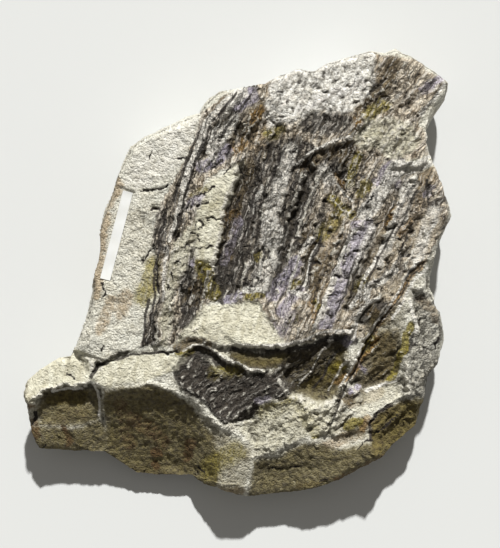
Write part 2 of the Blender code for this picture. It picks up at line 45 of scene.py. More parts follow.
MM = 0.001

# Heights over the back, in millimetres
FACE, RIM, LABEL_BED = 56.0, 27.0, 54.5

# The drawing sheet that places are given on, in steps to the right and steps down
SHEET_WIDTH, SHEET_HEIGHT = 500, 548
STEPS_OVER_PLATE = 421
STEP = PLATE_WIDTH / STEPS_OVER_PLATE
SHEET_MIDDLE = (236.5, 274.0)
DRAWN_FROM_OVER = (250.0, 274.0)
FACE_DRAWN_LARGER = 0.024  # than the rim, being nearer the eye
LABEL_MIDDLE, LABEL_LEAN = (116.5, 235.5), 14.6

# The relief is cut on little squares, then the back and sides are thinned
SQUARE = 0.0011
BLOCK_THICKNESS = 0.030
PLATE_TRIANGLES = 190000
BACK_TRUE_WITHIN = 0.0003
SHARP_ANGLE = 40

# Flat chips under the edge: height over the back in mm, how far they face down, depth and pitch in metres
EDGE_CHIPS = ((3.0, 45, 0.012, 0.045), (13.0, 18, 0.0045, 0.058))
CHIP_SHIFT, CHIP_TURN, CHIP_TILT, CHIP_BITE = 0.3, 22, (-8, 12), (0.5, 1.0)

# The label's curl, in millimetres: at its ends, along its edges, in ripples, and its gap over the stone,
# whose highest place is found from this many across and along
END_LIFT, EDGE_LIFT, RIPPLE, GAP = 0.5, 0.25, 0.12, 0.02
RIPPLES, PLACES_ACROSS, PLACES_ALONG = 23, 7, 61

# The eye, the light and the floor
EYE_OVER_FACE = 1.2
KEY_STRENGTH, KEY_ANGLE, KEY_RIGHT_OF_TOP, KEY_RISE = 5.4, 2.0, 6.0, 36.0
KEY_COLOUR, FILL_COLOUR, FILL_STRENGTH = (1.0, 0.99, 0.96), (1.0, 0.96, 0.89), 0.2
FLOOR_REACH, FLOOR_COLOUR = 1.5, (214, 216, 216)

# Noises in the stone, and how far the ones that follow the grain are drawn out along it
NOISES = (
    # name, scale along the grain (0 where it has none), scale, detail, roughness
    ("lumps", 0, 60, 3, 0.55),
    ("mottle", 0, 250, 3, 0.6),
    ("flecks", 0, 620, 2, 0.6),
    ("fibres", 0.25, 420, 3, 0.65),
    ("splinters", 0.13, 400, 1, 0.5),
    ("flakes", 0.25, 190, 3, 0.6),
    ("threads", 0.06, 520, 2, 0.6),
)
# The net of thin lines between chips: scale along the grain, scale, line width, how far and often it bends
CHIP_NET_STRETCH, CHIP_NET_SCALE, CHIP_NET_LINE, CHIP_NET_BEND, CHIP_NET_BENDS = 0.38, 150, 0.07, 0.9, 2.2

# Colours out of 255; most are a pair that noise mixes
BARE_STONE = (222, 221, 209), (194, 189, 171)
STONE_SPECKLE, SPECKLE_SHARE = ((244, 242, 232), (104, 97, 80)), 0.35
LINE_COLOUR, LINE_SHARE = (40, 34, 29), 1.3
PALE_THREAD_COLOUR, PALE_THREAD_SHARE = (216, 211, 202), 0.6
DARK_THREAD, PALE_THREAD = (0.42, 0.34), (0.57, 0.66)  # noise that starts a thread and that fills it
FILM_HIDES_SPECKS, PALE_STONE_HIDES_SPECKS = 0.7, 0.8
PAPER, PAPER_YELLOWED, PAPER_NAP = (228, 230, 232), (216, 216, 210), 0.00015
STAINS_AND_PAINTED_LIGHT = (
    # value on the points, pair of colours, noise that its border follows, noise that mixes the pair,
    # contrast, spread, softness, share of the stain's own colour
    ("bark", ((222, 210, 190), (120, 103, 80)), "mottle", "fibres", 6.0, 0.6, 0.3, 0.9),
    ("tan", ((184, 164, 134), (138, 118, 88)), "mottle", "flecks", 4.0, 1.6, 0.4, 0.75),
    # dark carbon film on the bark, and painted shade on shaded walls under the tongue's lip
    ("film_and_painted_shade", ((76, 70, 64), (28, 24, 20)), "fibres", "fibres", 6.0, 2.2, 0.3, 0.94),
    # brown stain, and painted shade under the upper ledge
    ("brown", ((102, 86, 54), (58, 46, 28)), "flakes", "fibres", 6.0, 1.6, 0.35, 0.88),
    # olive-brown stain, and painted shade on the faces that turn down away from the light
    ("olive_wash_and_painted_shade", ((116, 104, 54), (68, 57, 24)), "mottle", "mottle", 3.0, 1.2, 0.4, 0.9),
    ("ochre", ((168, 130, 62), (114, 84, 36)), "fibres", "flecks", 4.0, 2.2, 0.5, 0.75),
    ("olive", ((148, 136, 48), (106, 94, 28)), "fibres", "flecks", 4.0, 2.0, 0.45, 0.85),
    ("weathered", ((246, 244, 237), (184, 180, 170)), "flakes", "mottle", 5.0, 0.8, 0.3, 1.0),
    # the thin film's lilac tint, partly a painted sheen
    ("lavender_and_painted_sheen", ((194, 188, 202), (142, 134, 151)), "fibres", "flecks", 4.0, 1.8, 0.35, 0.8),
    ("rust", ((104, 74, 36), (72, 50, 24)), "mottle", "flecks", 4.0, 2.0, 0.4, 0.75),
    ("pale", ((221, 218, 199), (182, 177, 154)), "mottle", "flakes", 4.0, 1.2, 0.3, 0.9),
    # painted shade in the hollows of the relief
    ("hollow", ((66, 58, 43), (32, 27, 21)), "mottle", "flecks", 4.0, 1.6, 0.5, 0.75),
    ("scar", ((62, 54, 44), (36, 30, 25)), "mottle", "flecks", 4.0, 0.8, 0.4, 0.8),
    ("worn", ((232, 229, 219), (198, 193, 178)), "flakes", "flecks", 4.0, 2.4, 0.3, 0.8),
    # pale lines, and painted highlights on lips and ridges
    ("crest", ((242, 240, 233), (208, 203, 192)), "fibres", "flecks", 4.0, 1.4, 0.3, 0.9),
    # dark lines and cracks, and painted shadow beside pale ribs
    ("dark_line_and_painted_shadow", ((58, 50, 44), (30, 26, 23)), "fibres", "flecks", 4.0, 1.2, 0.3, 0.9),
    ("crack", ((50, 42, 34), (30, 25, 22)), "flecks", "flecks", 3.0, 0.8, 0.3, 1.0),
)
# Light and dark specks on the bark: grit, and painted glints and painted specks of shadow on the bumps
GRIT_GLINT_AND_SHADE_SPECKS = (
    # noise that starts and fills it, colour, share on the bark
    (0.42, 0.34, (40, 34, 27), 0.52),
    (0.57, 0.65, (232, 226, 216), 0.52),
)
BUMPS = (
    # noise, whether only the bark has it, height in metres
    ("flecks", False, 0.002),
    ("fibres", True, 0.0036),
    ("mottle", False, 0.0024),
    ("lines", False, 0.0008),
)

OUTLINE = (
    (132, 150), (147, 140), (187, 121), (200, 117), (206, 106), (220, 94), (250, 84), (283, 76), (296, 71),
    (312, 75), (326, 66), (350, 58), (368, 54), (381, 57), (393, 52), (410, 59), (434, 76), (445, 87),
    (444, 102), (434, 120), (427, 133), (427, 148), (434, 168), (442, 190), (447, 218), (438, 246),
    (426, 277), (425, 287), (439, 312), (440, 330), (436, 363), (428, 373), (425, 408), (416, 431),
    (396, 445), (370, 462), (340, 476), (312, 488), (262, 495), (228, 496), (198, 488), (176, 481),
    (130, 478), (100, 458), (72, 456), (41, 449), (31, 430), (30, 412), (26, 394), (28, 378), (36, 365),
    (60, 353), (70, 357), (80, 339), (91, 312), (96, 290), (94, 272), (99, 240), (112, 200), (119, 180),
)

# ---- Tools for drawing the relief: each takes arrays of places, right and down on the sheet ----

NOISE_TABLE = 64


def smooth(share):
    """Eases from 0 to 1."""
    share = np.clip(share, 0.0, 1.0)
    return share * share * (3.0 - 2.0 * share)


def between(first, second, share):
    return first * (1 - share) + second * share


def table_of(seed):
    return np.random.default_rng(seed).random((NOISE_TABLE, NOISE_TABLE))


def noise(u, v, size, seed):
    """Smooth noise from -1 to 1 whose lumps are `size` steps across."""
    table = table_of(seed)
    column, row = np.floor(u / size).astype(int), np.floor(v / size).astype(int)
    f, g = smooth(u / size - column), smooth(v / size - row)
    left, right = column % NOISE_TABLE, (column + 1) % NOISE_TABLE
    top, foot = row % NOISE_TABLE, (row + 1) % NOISE_TABLE
    upper = between(table[left, top], table[right, top], f)
    lower = between(table[left, foot], table[right, foot], f)
    return between(upper, lower, g) * 2.0 - 1.0


def layered(u, v, size, seed, octaves=4, keep=0.5):
    """Noise on noise, each layer half the size of the last and `keep` times as strong."""
    total, weight, share = 0.0, 0.0, 1.0
    for octave in range(octaves):
        total = total + share * noise(u, v, size / 2**octave, seed + 7 * octave)
        weight += share
        share *= keep
    return total / weight


def ridged(u, v, size, seed, octaves, keep=0.5):
    """Layered noise folded into sharp ridges, up to 1."""
    return 1 - 2 * np.abs(layered(u, v, size, seed, octaves, keep))


def terraces(value, steps, sharp=3.0):
    """Turns a smooth rise into flakes with steep little edges."""
    scaled = value * steps
    whole = np.floor(scaled)
    return (whole + smooth((scaled - whole - 0.5) * sharp + 0.5)) / steps


def line_field(u, v, line, taper=1.0):
    """Distance to a broken line, above nought left of its travel, and a share that fades at its ends."""
    nearest = np.full(u.shape, 1e9)
    signed, run, start = np.zeros(u.shape), np.zeros(u.shape), 0.0
    for (ax, ay), (bx, by) in zip(line, line[1:]):
        dx, dy = bx - ax, by - ay
        length = np.hypot(dx, dy)
        share = np.clip(((u - ax) * dx + (v - ay) * dy) / length**2, 0, 1)
        px, py = u - ax - share * dx, v - ay - share * dy
        distance = np.hypot(px, py)
        closer = distance < nearest
        nearest = np.where(closer, distance, nearest)
        signed = np.where(closer, np.where(dy * px >= dx * py, distance, -distance), signed)
        run = np.where(closer, start + share * length, run)
        start += length
    return signed, smooth(run / taper) * smooth((start - run) / taper)


def area_field(u, v, ring):
    """Distance to a closed ring, above nought inside it."""
    nearest = np.full(u.shape, 1e9)
    inside = np.zeros(u.shape, bool)
    for (ax, ay), (bx, by) in zip(ring, ring[1:] + ring[:1]):
        dx, dy = bx - ax, by - ay
        share = np.clip(((u - ax) * dx + (v - ay) * dy) / (dx * dx + dy * dy), 0, 1)
        nearest = np.minimum(nearest, np.hypot(u - ax - share * dx, v - ay - share * dy))
        if dy:
            inside ^= ((ay > v) != (by > v)) & (u < ax + (v - ay) * dx / dy)
    return np.where(inside, nearest, -nearest)


def patches(u, v, rings, soft):
    """How strongly drawn patches, each a strength and a ring, cover a place."""
    cover = np.zeros(u.shape)
    for strength, ring in rings:
        cover = np.maximum(cover, strength * smooth(0.5 + area_field(u, v, ring) / soft))
    return cover


def areas(u, v, rings, soft):
    """1 inside any of the rings and 0 outside, changing over `soft` steps."""
    return patches(u, v, [(1.0, ring) for ring in rings], soft)


def strokes(u, v, lines):
    """How strongly drawn strokes, each a strength, a half width and a line, cover a place."""
    cover = np.zeros(u.shape)
    for strength, half_wide, line in lines:
        away = np.abs(line_field(u, v, line)[0])
        cover = np.maximum(cover, strength * smooth(1.5 - away / half_wide))
    return cover


# ---- The face's form: places are (right, down) on the sheet, heights and drops are in millimetres ----

STRIATED_BLOCK = (
    (372, 424), (380, 412), (402, 404), (420, 402), (446, 404), (432, 444), (402, 464), (370, 456),
)
FACETS = (
    # broken face, ring, a place on it with its height, rise per 100 steps right and down, softness
    ("lower ground", ((222, 432), (262, 402), (300, 392), (345, 385), (366, 340), (380, 316), (410, 296),
     (470, 290), (470, 520), (222, 520)), (330, 420, 44), -6, -16, 8),
    ("knob ground", ((10, 402), (36, 400), (62, 388), (94, 386), (112, 392), (118, 480), (10, 480)),
     (68, 425, 34), 0, -28, 4),
    ("left slab", ((88, 300), (92, 272), (97, 240), (110, 200), (124, 157), (145, 136), (187, 117),
     (206, 110), (186, 158), (172, 185), (158, 212), (152, 250), (158, 290), (150, 345), (128, 352),
     (98, 362), (68, 356)), (130, 250, 56), 3, 0, 10),
    ("top slope", ((203, 112), (250, 76), (300, 64), (376, 48), (368, 112), (330, 125), (285, 128),
     (250, 120)), (320, 100, 56), 0, 13, 14),
    ("right head", ((372, 46), (400, 46), (452, 80), (448, 118), (420, 150), (380, 130), (365, 112)),
     (405, 100, 53), -4, 14, 10),
    ("central floor", ((250, 138), (276, 126), (304, 142), (332, 215), (312, 262), (300, 300), (212, 300),
     (224, 240)), (262, 240, 51), 3, -2, 14),
    ("light patch", ((243, 160), (235, 185), (222, 220), (218, 250), (212, 266), (195, 262), (196, 215),
     (204, 180), (225, 168)), (215, 215, 58), 0, 0, 5),
    ("right margin", ((412, 292), (455, 292), (460, 372), (445, 412), (404, 408), (404, 372), (408, 330)),
     (422, 350, 47), -25, -4, 7),
    ("shaded hollow", ((372, 312), (402, 298), (406, 330), (402, 372), (386, 386), (366, 392), (352, 384),
     (366, 340)), (385, 350, 46), 0, -30, 6),
    ("bright foot facet", ((364, 391), (402, 378), (408, 402), (380, 410), (370, 424), (350, 432),
     (345, 415), (350, 400)), (385, 394, 41), 0, 14, 6),
    ("striated block", STRIATED_BLOCK, (395, 424, 38), -22, -30, 4),
    ("dim face", ((290, 352), (345, 340), (348, 372), (338, 398), (318, 404), (292, 395), (282, 372)),
     (318, 375, 42), -4, -36, 6),
    ("lower middle", ((236, 428), (262, 408), (300, 398), (332, 402), (340, 438), (300, 441), (276, 458),
     (256, 462), (246, 442)), (290, 430, 43), 6, -12, 9),
    ("bottom band", ((255, 463), (278, 459), (304, 443), (340, 450), (372, 443), (392, 458), (384, 478),
     (336, 500), (262, 515), (246, 510)), (300, 470, 35), 4, -32, 9),
    ("tongue", ((203, 303), (245, 300), (264, 303), (268, 318), (284, 348), (250, 348), (225, 344),
     (205, 338), (190, 335)), (240, 325, 57), 0, 18, 4),
    ("tongue flank", ((190, 333), (206, 322), (218, 320), (236, 345), (208, 342), (176, 344)),
     (206, 334, 56), 6, -10, 2.5),
    ("block top", ((88, 377), (100, 362), (112, 358), (135, 353), (165, 352), (185, 360), (178, 372),
     (150, 381), (102, 389)), (130, 356, 54.5), 0, 12, 4),
    ("knob top", ((12, 400), (16, 376), (36, 350), (62, 338), (80, 350), (94, 380), (75, 388), (62, 385),
     (48, 391), (36, 400)), (60, 372, 46), 13, 30, 5),
    ("knob hollow", ((12, 400), (36, 402), (48, 392), (62, 386), (75, 389), (92, 384), (97, 400),
     (94, 412), (90, 421), (76, 428), (56, 430), (36, 426), (12, 430)), (68, 408, 38), 3, -22, 4),
    ("knob foot", ((12, 430), (36, 426), (54, 431), (76, 430), (94, 421), (104, 432), (106, 475),
     (12, 475)), (104, 440, 29), -3, -34, 8),
)
LEDGES = (
    # name, line with the high side on its left, drop, fade on the high side and on the low side, softness
    ("slab foot", ((88, 378), (98, 362), (108, 359), (128, 352), (165, 352), (190, 346)), 0.8, 9, 5, 2.0),
    ("tongue lip", ((178, 345), (192, 340), (215, 344), (236, 347), (262, 349), (283, 350), (300, 345),
     (318, 338), (352, 335)), 4.2, 30, 12, 2.0),
    ("second lip", ((184, 353), (200, 345), (210, 348), (220, 357), (232, 365), (248, 370), (272, 371)), 7,
     6, 24, 1.4),
    ("patch wall", ((212, 296), (214, 275), (221, 240), (228, 205), (236, 186), (243, 160)), 8, 20, 16,
     1.8),
    ("upper ledge", ((296, 170), (303, 161), (314, 151), (328, 148), (344, 145), (356, 140)), 5, 14, 24,
     1.5),
    ("rib step", ((316, 330), (326, 300), (334, 277), (345, 252), (352, 236)), -4, 14, 8, 1.4),
    ("right ledge one", ((362, 296), (369, 286), (384, 278), (396, 270), (399, 256), (411, 240)), 5, 9, 12,
     1.4),
    ("right ledge two", ((340, 352), (352, 332), (357, 320), (362, 309), (372, 301), (388, 296)), 5, 8, 12,
     1.6),
    ("bright crest", ((386, 172), (400, 167), (420, 168), (436, 171)), 4, 9, 10, 1.8),
    ("striated edge", ((370, 442), (371, 424), (379, 412), (402, 404), (416, 404)), 2, 10, 14, 1.4),
    ("head scar", ((358, 112), (372, 98), (371, 76), (374, 56)), 4, 10, 16, 1.5),
    ("foot ledge", ((254, 461), (278, 457), (292, 444), (302, 441), (322, 451), (338, 447)), 2, 12, 12,
     2.0),
    ("foot crack", ((256, 470), (300, 470), (322, 466)), 1.2, 8, 10, 1.4),
    ("middle rib", ((262, 300), (275, 262), (285, 225), (300, 196), (310, 168)), 2.5, 10, 14, 1.6),
    ("scoop side", ((221, 430), (243, 441), (251, 453), (252, 478)), 2.0, 10, 14, 2.5),
    ("pocket rim", ((200, 405), (212, 417), (226, 426), (252, 421), (258, 405), (268, 400), (286, 400),
     (298, 388)), -5, 18, 9, 2.0),
)
SWELLS = (
    # name, middle, half length, half width, lean of the long axis right of upright, height
    ("knob hollow deep", (70, 398), 8, 22, 0, -3),
    ("dark pocket", (228, 398), 24, 30, 60, -8),
    ("pocket arm", (290, 368), 36, 13, 62, -3),
    ("recess", (322, 352), 30, 10, 80, -2),
    ("dark notch", (326, 120), 9, 9, 20, -5),
    ("brown valley", (340, 178), 34, 12, 25, -5),
    ("valley foot", (352, 205), 12, 10, 0, -3),
    ("upper brown scar", (390, 82), 26, 13, 10, -3),
    ("left matrix swell", (132, 300), 50, 30, 10, 2),
    ("band hollow", (190, 290), 34, 12, 18, -5),
    ("wedge hollow", (150, 328), 22, 6, 12, -4),
    ("head knob", (436, 98), 16, 8, 10, 3),
    ("crest swell", (415, 178), 10, 22, 80, 3),
    ("slab corner", (86, 350), 16, 11, 20, -5),
    ("knob shoulder", (76, 357), 15, 9, -37, 5),
)
SEAMS = (
    # name, line, height (below nought for a crack), half width
    ("black groove", ((312, 164), (303, 190), (296, 210), (288, 236), (280, 264)), -4.5, 5.0),
    ("tan groove", ((332, 214), (320, 240), (310, 262), (302, 290)), -2.5, 3.0),
    ("band groove", ((206, 150), (196, 172), (188, 200), (182, 226)), -2.5, 4.0),
    ("rib groove", ((384, 236), (368, 262), (354, 290), (346, 316)), -3.0, 4.0),
    ("outer groove", ((420, 214), (406, 240), (392, 262), (378, 282)), -3.0, 4.0),
    ("long crack", ((420, 260), (410, 275), (403, 288), (388, 312), (371, 335), (358, 362), (345, 385),
     (335, 410), (328, 432)), -4, 1.6),
    ("slab crack", ((93, 375), (99, 364), (108, 361)), -6, 2.2),
    ("slab crack, right", ((106, 360), (116, 355), (131, 351)), -4, 1.8),
    ("white rib", ((240, 95), (210, 130), (197, 155), (190, 170), (183, 200), (172, 235)), 2.4, 2.6),
    ("pocket rib", ((325, 347), (312, 368), (300, 388)), 2.5, 2.0),
    ("bare stone line", ((160, 262), (157, 295)), -2.0, 1.2),
    ("head groove", ((440, 88), (420, 116)), -1.8, 1.6),
    ("knob ridge", ((92, 380), (97, 392), (98, 405), (95, 420)), 2.0, 5.0),
    ("bare stone crack", ((143, 192), (158, 188), (172, 184)), -1.5, 1.2),
    ("bare stone nick", ((150, 209), (162, 206)), -1.5, 1.2),
)
SCOOP_BROW = (
    (102, 423), (99, 412), (102, 389), (150, 382), (170, 389), (190, 400), (205, 411), (221, 430),
    (243, 441), (250, 452), (254, 475), (250, 520), (104, 520),
)

BARK = (
    (203, 116), (226, 98), (262, 84), (300, 74), (330, 66), (372, 58), (412, 62), (440, 88), (418, 122),
    (426, 166), (442, 190), (445, 218), (434, 246), (421, 262), (405, 290), (390, 314), (366, 338),
    (350, 338), (318, 338), (284, 348), (268, 320), (262, 304), (212, 300), (198, 316), (184, 336),
    (170, 345), (141, 346), (150, 312), (158, 296), (158, 262), (151, 240), (158, 212), (172, 185),
    (186, 158),
)
POCKET = (
    (172, 368), (186, 352), (200, 352), (216, 372), (246, 374), (272, 372), (292, 350), (320, 340),
    (350, 338), (330, 366), (304, 384), (286, 398), (262, 402), (254, 418), (226, 425), (212, 414),
    (200, 400), (184, 392),
)
PATCH = (
    (246, 160), (238, 186), (226, 212), (221, 240), (216, 268), (206, 272), (196, 262), (196, 215),
    (204, 182), (222, 168),
)
HACKLED = (
    ((374, 54), (412, 56), (440, 86), (420, 118), (388, 112), (362, 112), (372, 92)),
    ((412, 288), (440, 292), (446, 372), (430, 425), (404, 405), (402, 372), (408, 330)),
    ((240, 428), (262, 408), (300, 398), (334, 400), (344, 440), (300, 440), (276, 456), (258, 460),
     (246, 440)),
    ((352, 120), (392, 110), (420, 128), (424, 160), (388, 168), (350, 160)),
)
RIBBED = (
    ((316, 196), (340, 196), (360, 200), (396, 164), (440, 170), (446, 220), (434, 250), (400, 302),
     (366, 338), (318, 338), (294, 322), (300, 270)),
    ((268, 84), (300, 72), (372, 56), (372, 92), (352, 112), (300, 122), (270, 128)),
)
CALM = (
    ((204, 304), (245, 301), (262, 303), (268, 318), (282, 346), (250, 346), (228, 342), (214, 322),
     (205, 320)),
    ((90, 378), (102, 364), (135, 356), (175, 358), (180, 368), (150, 380), (102, 388)),
    ((100, 423), (102, 390), (150, 384), (190, 401), (220, 430), (246, 443), (252, 478), (240, 500),
     (100, 480)),
    ((28, 400), (30, 372), (60, 348), (90, 372), (96, 400), (90, 420), (40, 424)),
    ((292, 352), (340, 345), (344, 372), (334, 396), (316, 402), (292, 395)),
    ((256, 464), (304, 445), (340, 452), (370, 448), (336, 484), (262, 500)),
    ((368, 340), (402, 326), (400, 376), (402, 392), (372, 402), (360, 392)),
)

FACE_MIDDLE, FACE_RISE_RIGHT, FACE_FALL_DOWN = (236, 275), 0.010, 0.004
LEDGE_SHARE, SWELL_TIGHTNESS = 0.6, 1.2

# The scoop falls from its brow, with a lip there; to the right it is flatter and higher, and its brow softer
SCOOP_TOP, SCOOP_HEIGHT, SCOOP_FALL, SCOOP_LIP, SCOOP_LIP_WIDTH = 388, 53.0, 0.46, 4.0, 16
SCOOP_RIGHT, SCOOP_RIGHT_WIDTH, SCOOP_FLATTER, SCOOP_HIGHER = 178, 50, 0.28, 3.0
SCOOP_SOFT, SCOOP_SOFTER, SOFTER_RIGHT, SOFTER_WIDTH = 5, 16, 170, 35

# The bark's lines of growth: lean at the left, what it gains across the sheet, and their curl at the head
GROWTH_LEAN, GROWTH_FAN, FAN_STARTS, FAN_WIDTH = 0.24, 0.30, 200, 220
GROWTH_MIDDLE, CURL_STARTS, CURL, GROWTH_PASSES = 275, 175, 0.002, 6

# Marks on the bark, in steps and (the height) millimetres
SCAR_ROW, SCAR_PITCH, SCAR_HALF_WIDE, SCAR_HALF_HIGH, BLANK_SCARS = 13.0, 11.5, 2.6, 1.9, 0.22
RIB_WIDTH, RIB_HEIGHT, RIB_STEEP, RIB_MEAN = 40.0, 4.2, 0.16, 0.45

# Depth of the coarse relief on the bark, on the bare stone, on hackled breaks and on calm faces, in mm
FLAKE, THIN_RIB, ROW_RIB, SCAR, RIBBED_SCAR = 2.4, 0.55, 0.45, 1.2, 1.4
LUMP, LUMP_STEP, HACKLE, HACKLE_STEP, CALM_LUMP, CALMED = 1.0, 0.7, 2.6, 1.2, 0.35, 0.85

# The edge: the band that the face falls over, in steps, and how; what the sides and the back lose, in mm
EDGE_BAND, EDGE_IN, EDGE_UP = 7.0, (0, 0.12, 0.5, 1), (0, 0.55, 0.85, 1)
UNDERCUT, BED, CRUMB, BACK_FLAKE, BACK_SCAB = 11.0, 1.4, 2.2, 9.0, 3.0


def facet(z, u, v, ring, place, right, down, soft):
    """Lays a tilted plane inside a ring."""
    plane = place[2] + right * (u - place[0]) / 100 + down * (v - place[1]) / 100
    return z + (plane - z) * smooth(0.5 + area_field(u, v, ring) / (2 * soft))


def ledge(z, u, v, line, drop, high_fade, low_fade, soft):
    """Steps the face down across a line, and fades the step out on both sides."""
    signed, ends = line_field(u, v, line, taper=10.0)
    fade = np.where(signed > 0, high_fade, low_fade)
    return z + LEDGE_SHARE * drop * np.tanh(signed / soft) * np.exp(-np.abs(signed) / fade) * ends


def swell(z, u, v, middle, half_long, half_wide, lean, height):
    """Adds a long low mound, or a hollow where the height is below nought."""
    lean = np.radians(lean)
    x, y = u - middle[0], v - middle[1]
    along, across = x * np.sin(lean) - y * np.cos(lean), x * np.cos(lean) + y * np.sin(lean)
    return z + height * np.exp(-SWELL_TIGHTNESS * ((along / half_long) ** 2 + (across / half_wide) ** 2))


def seam(z, u, v, line, height, half_wide, taper=6.0):
    """Adds a ridge along a line, or a groove where the height is below nought."""
    signed, ends = line_field(u, v, line, taper)
    return z + height * np.exp(-((signed / half_wide) ** 2)) * ends


def scoop(z, u, v):
    """The shell-shaped break that falls from its brow to the foot of the plate, flatter on the right."""
    below = v - SCOOP_TOP
    fall = SCOOP_HEIGHT - SCOOP_FALL * below + SCOOP_LIP * (1 - smooth(below / SCOOP_LIP_WIDTH))
    to_right = smooth((u - SCOOP_RIGHT) / SCOOP_RIGHT_WIDTH)
    fall = fall + (SCOOP_FLATTER * below + SCOOP_HIGHER) * to_right
    soft = SCOOP_SOFT + SCOOP_SOFTER * smooth((u - SOFTER_RIGHT) / SOFTER_WIDTH)
    return z + (fall - z) * smooth(0.5 + area_field(u, v, SCOOP_BROW) / soft)


def growth_line(u, v):
    """Names the bark's line of growth through each place by where it crosses the middle of the sheet."""
    line = u
    for _ in range(GROWTH_PASSES):
        lean = GROWTH_LEAN + GROWTH_FAN * smooth((line - FAN_STARTS) / FAN_WIDTH)
        line = u - (GROWTH_MIDDLE - v) * lean - CURL * np.maximum(CURL_STARTS - v, 0) ** 2
    return line


def leaf_scars(line, v):
    """Pits in rows along the lines of growth, every other row half a pitch on, from 0 to 1 deep."""
    one, two, three = table_of(71), table_of(72), table_of(73)
    depth = np.zeros(line.shape)
    for step in (0, 1):
        row = np.floor(line / SCAR_ROW).astype(int) + step
        shift = 0.5 * (row % 2)
        place = np.round(v / SCAR_PITCH - shift).astype(int)
        i, j = row % NOISE_TABLE, place % NOISE_TABLE
        across = line - (row + 0.25 * (one[i, j] - 0.5)) * SCAR_ROW
        down = v - (place + shift + 0.35 * (two[j, i] - 0.5)) * SCAR_PITCH
        size = 0.75 + 0.6 * two[i, j]
        reach = (across / (SCAR_HALF_WIDE * size)) ** 2 + (down / (SCAR_HALF_HIGH * size)) ** 2
        strength = (three[i, j] > BLANK_SCARS) * (0.5 + 0.5 * one[j, i])
        depth = np.maximum(depth, np.exp(-(reach**1.3)) * strength)
    return depth


def broad_ribs(line, u, v):
    """Long ribs, each steep on its left and falling gently to the right, some far fainter than others."""
    phase = (line + 7 * noise(u, v, 60, 43) + 2 * noise(u, v, 18, 44)) / RIB_WIDTH
    share = phase - np.floor(phase)
    strength = 0.35 + 0.65 * smooth(0.5 + layered(line, 0.3 * v, 60, 45, octaves=2))
    return RIB_HEIGHT * strength * (smooth(share / RIB_STEEP) * (1 - share) - RIB_MEAN)


def bark_share(u, v):
    """1 on the bark and in the dark pocket, 0 on bare stone."""
    return areas(u, v, (BARK, POCKET), 5) * (1 - areas(u, v, (PATCH,), 4))


def texture(u, v):
    """Flakes, ribs and scars on the bark, lumps on the bare stone, hackles where it broke roughly."""
    line = growth_line(u, v)
    calm = areas(u, v, CALM, 6)
    flakes = FLAKE * terraces(layered(line, 0.45 * v, 14, 41, octaves=3), 3.5)
    thin_ribs = THIN_RIB * layered(line, 0.12 * v, 2.8, 42, octaves=2)
    ribs = thin_ribs + ROW_RIB * np.cos(2 * np.pi * line / SCAR_ROW)
    scars = (SCAR + RIBBED_SCAR * areas(u, v, RIBBED, 10)) * leaf_scars(line, v)
    on_bark = flakes + ribs + broad_ribs(line, u, v) - scars
    on_stone = LUMP * layered(u, v, 26, 51) + LUMP_STEP * terraces(layered(u, v, 10, 52), 3)
    hackles = HACKLE * (0.5 - np.abs(layered(u, v, 9, 61, octaves=3, keep=0.6)))
    hackles = hackles + HACKLE_STEP * terraces(layered(u, v, 7, 62), 3)
    rough = between(on_stone, on_bark, bark_share(u, v)) + areas(u, v, HACKLED, 10) * hackles
    return rough * (1 - CALMED * calm) + calm * CALM_LUMP * layered(u, v, 12, 81)


def pushed(u, v):
    """Places pushed a little out of true, so that no drawn line runs straight."""
    right = u + 1.6 * noise(u, v, 14, 11) + 0.8 * noise(u, v, 6, 12)
    down = v + 1.6 * noise(u, v, 14, 13) + 0.8 * noise(u, v, 6, 14)
    return right, down


def face_height(u, v):
    """Height of the fossil face."""
    place = pushed(u, v)
    z = FACE + FACE_RISE_RIGHT * (u - FACE_MIDDLE[0]) - FACE_FALL_DOWN * (v - FACE_MIDDLE[1])
    for _, *form in FACETS:
        z = facet(z, *place, *form)
    z = scoop(z, *place)
    for shape, forms in ((swell, SWELLS), (ledge, LEDGES), (seam, SEAMS)):
        for _, *form in forms:
            z = shape(z, *place, *form)
    return z + texture(*place)


def round_over(z, u, v, edge):
    """Brings the face down to the lower rim, by a steep side and a bevel, over a band of varied width."""
    width = EDGE_BAND + 4.0 * noise(u, v, 26, 31) + 1.5 * noise(u, v, 9, 32)
    rim = np.minimum(RIM + 6.0 * noise(u, v, 60, 33) + 2.0 * noise(u, v, 16, 34), z - 4.0)
    bevel = 0.5 + 0.3 * noise(u, v, 34, 35)
    share = np.interp(edge / width, EDGE_IN, EDGE_UP)
    return rim + (z - rim) * share ** (0.7 + 0.6 * bevel)


def back_height(u, v, edge):
    """The split back: flat, with flakes gone from its margin and a few shallow scabs off the middle."""
    flakes = terraces(0.6 + 0.5 * layered(u, v, 30, 91), 3)
    margin = BACK_FLAKE * (1 - smooth((edge - 3) / 22)) * flakes
    scabs = BACK_SCAB * smooth((layered(u, v, 70, 95) - 0.34) / 0.03)
    return np.maximum(margin + scabs, 0.0)


def side_pull(u, v, z, edge, level):
    """How far the sides draw in, in millimetres: below the rim to the back, and ragged along the beds."""
    undercut = (UNDERCUT + 6.0 * noise(u, v, 55, 101)) * (1 - level) ** 1.5
    bedding = BED * terraces(noise(0.12 * u + 40, z + 0.15 * v, 5.0, 102), 2)
    crumbled = CRUMB * layered(u + 1.3 * z, v - 1.1 * z, 18, 103)
    return (undercut + bedding + crumbled - BED) * (1 - smooth(edge / 24))


def label_bed(z, u, v):
    """The strip of level stone that the label is stuck to."""
    lean = np.radians(LABEL_LEAN)
    x, y = u - LABEL_MIDDLE[0], v - LABEL_MIDDLE[1]
    across = np.abs(x * np.cos(lean) + y * np.sin(lean)) - LABEL_WIDTH / (2 * STEP)
    along = np.abs(x * np.sin(lean) - y * np.cos(lean)) - LABEL_LENGTH / (2 * STEP)
    level_margin, easing = 1.0, 3.0
    return z + (LABEL_BED - z) * (1 - smooth((np.maximum(across, along) - level_margin) / easing))
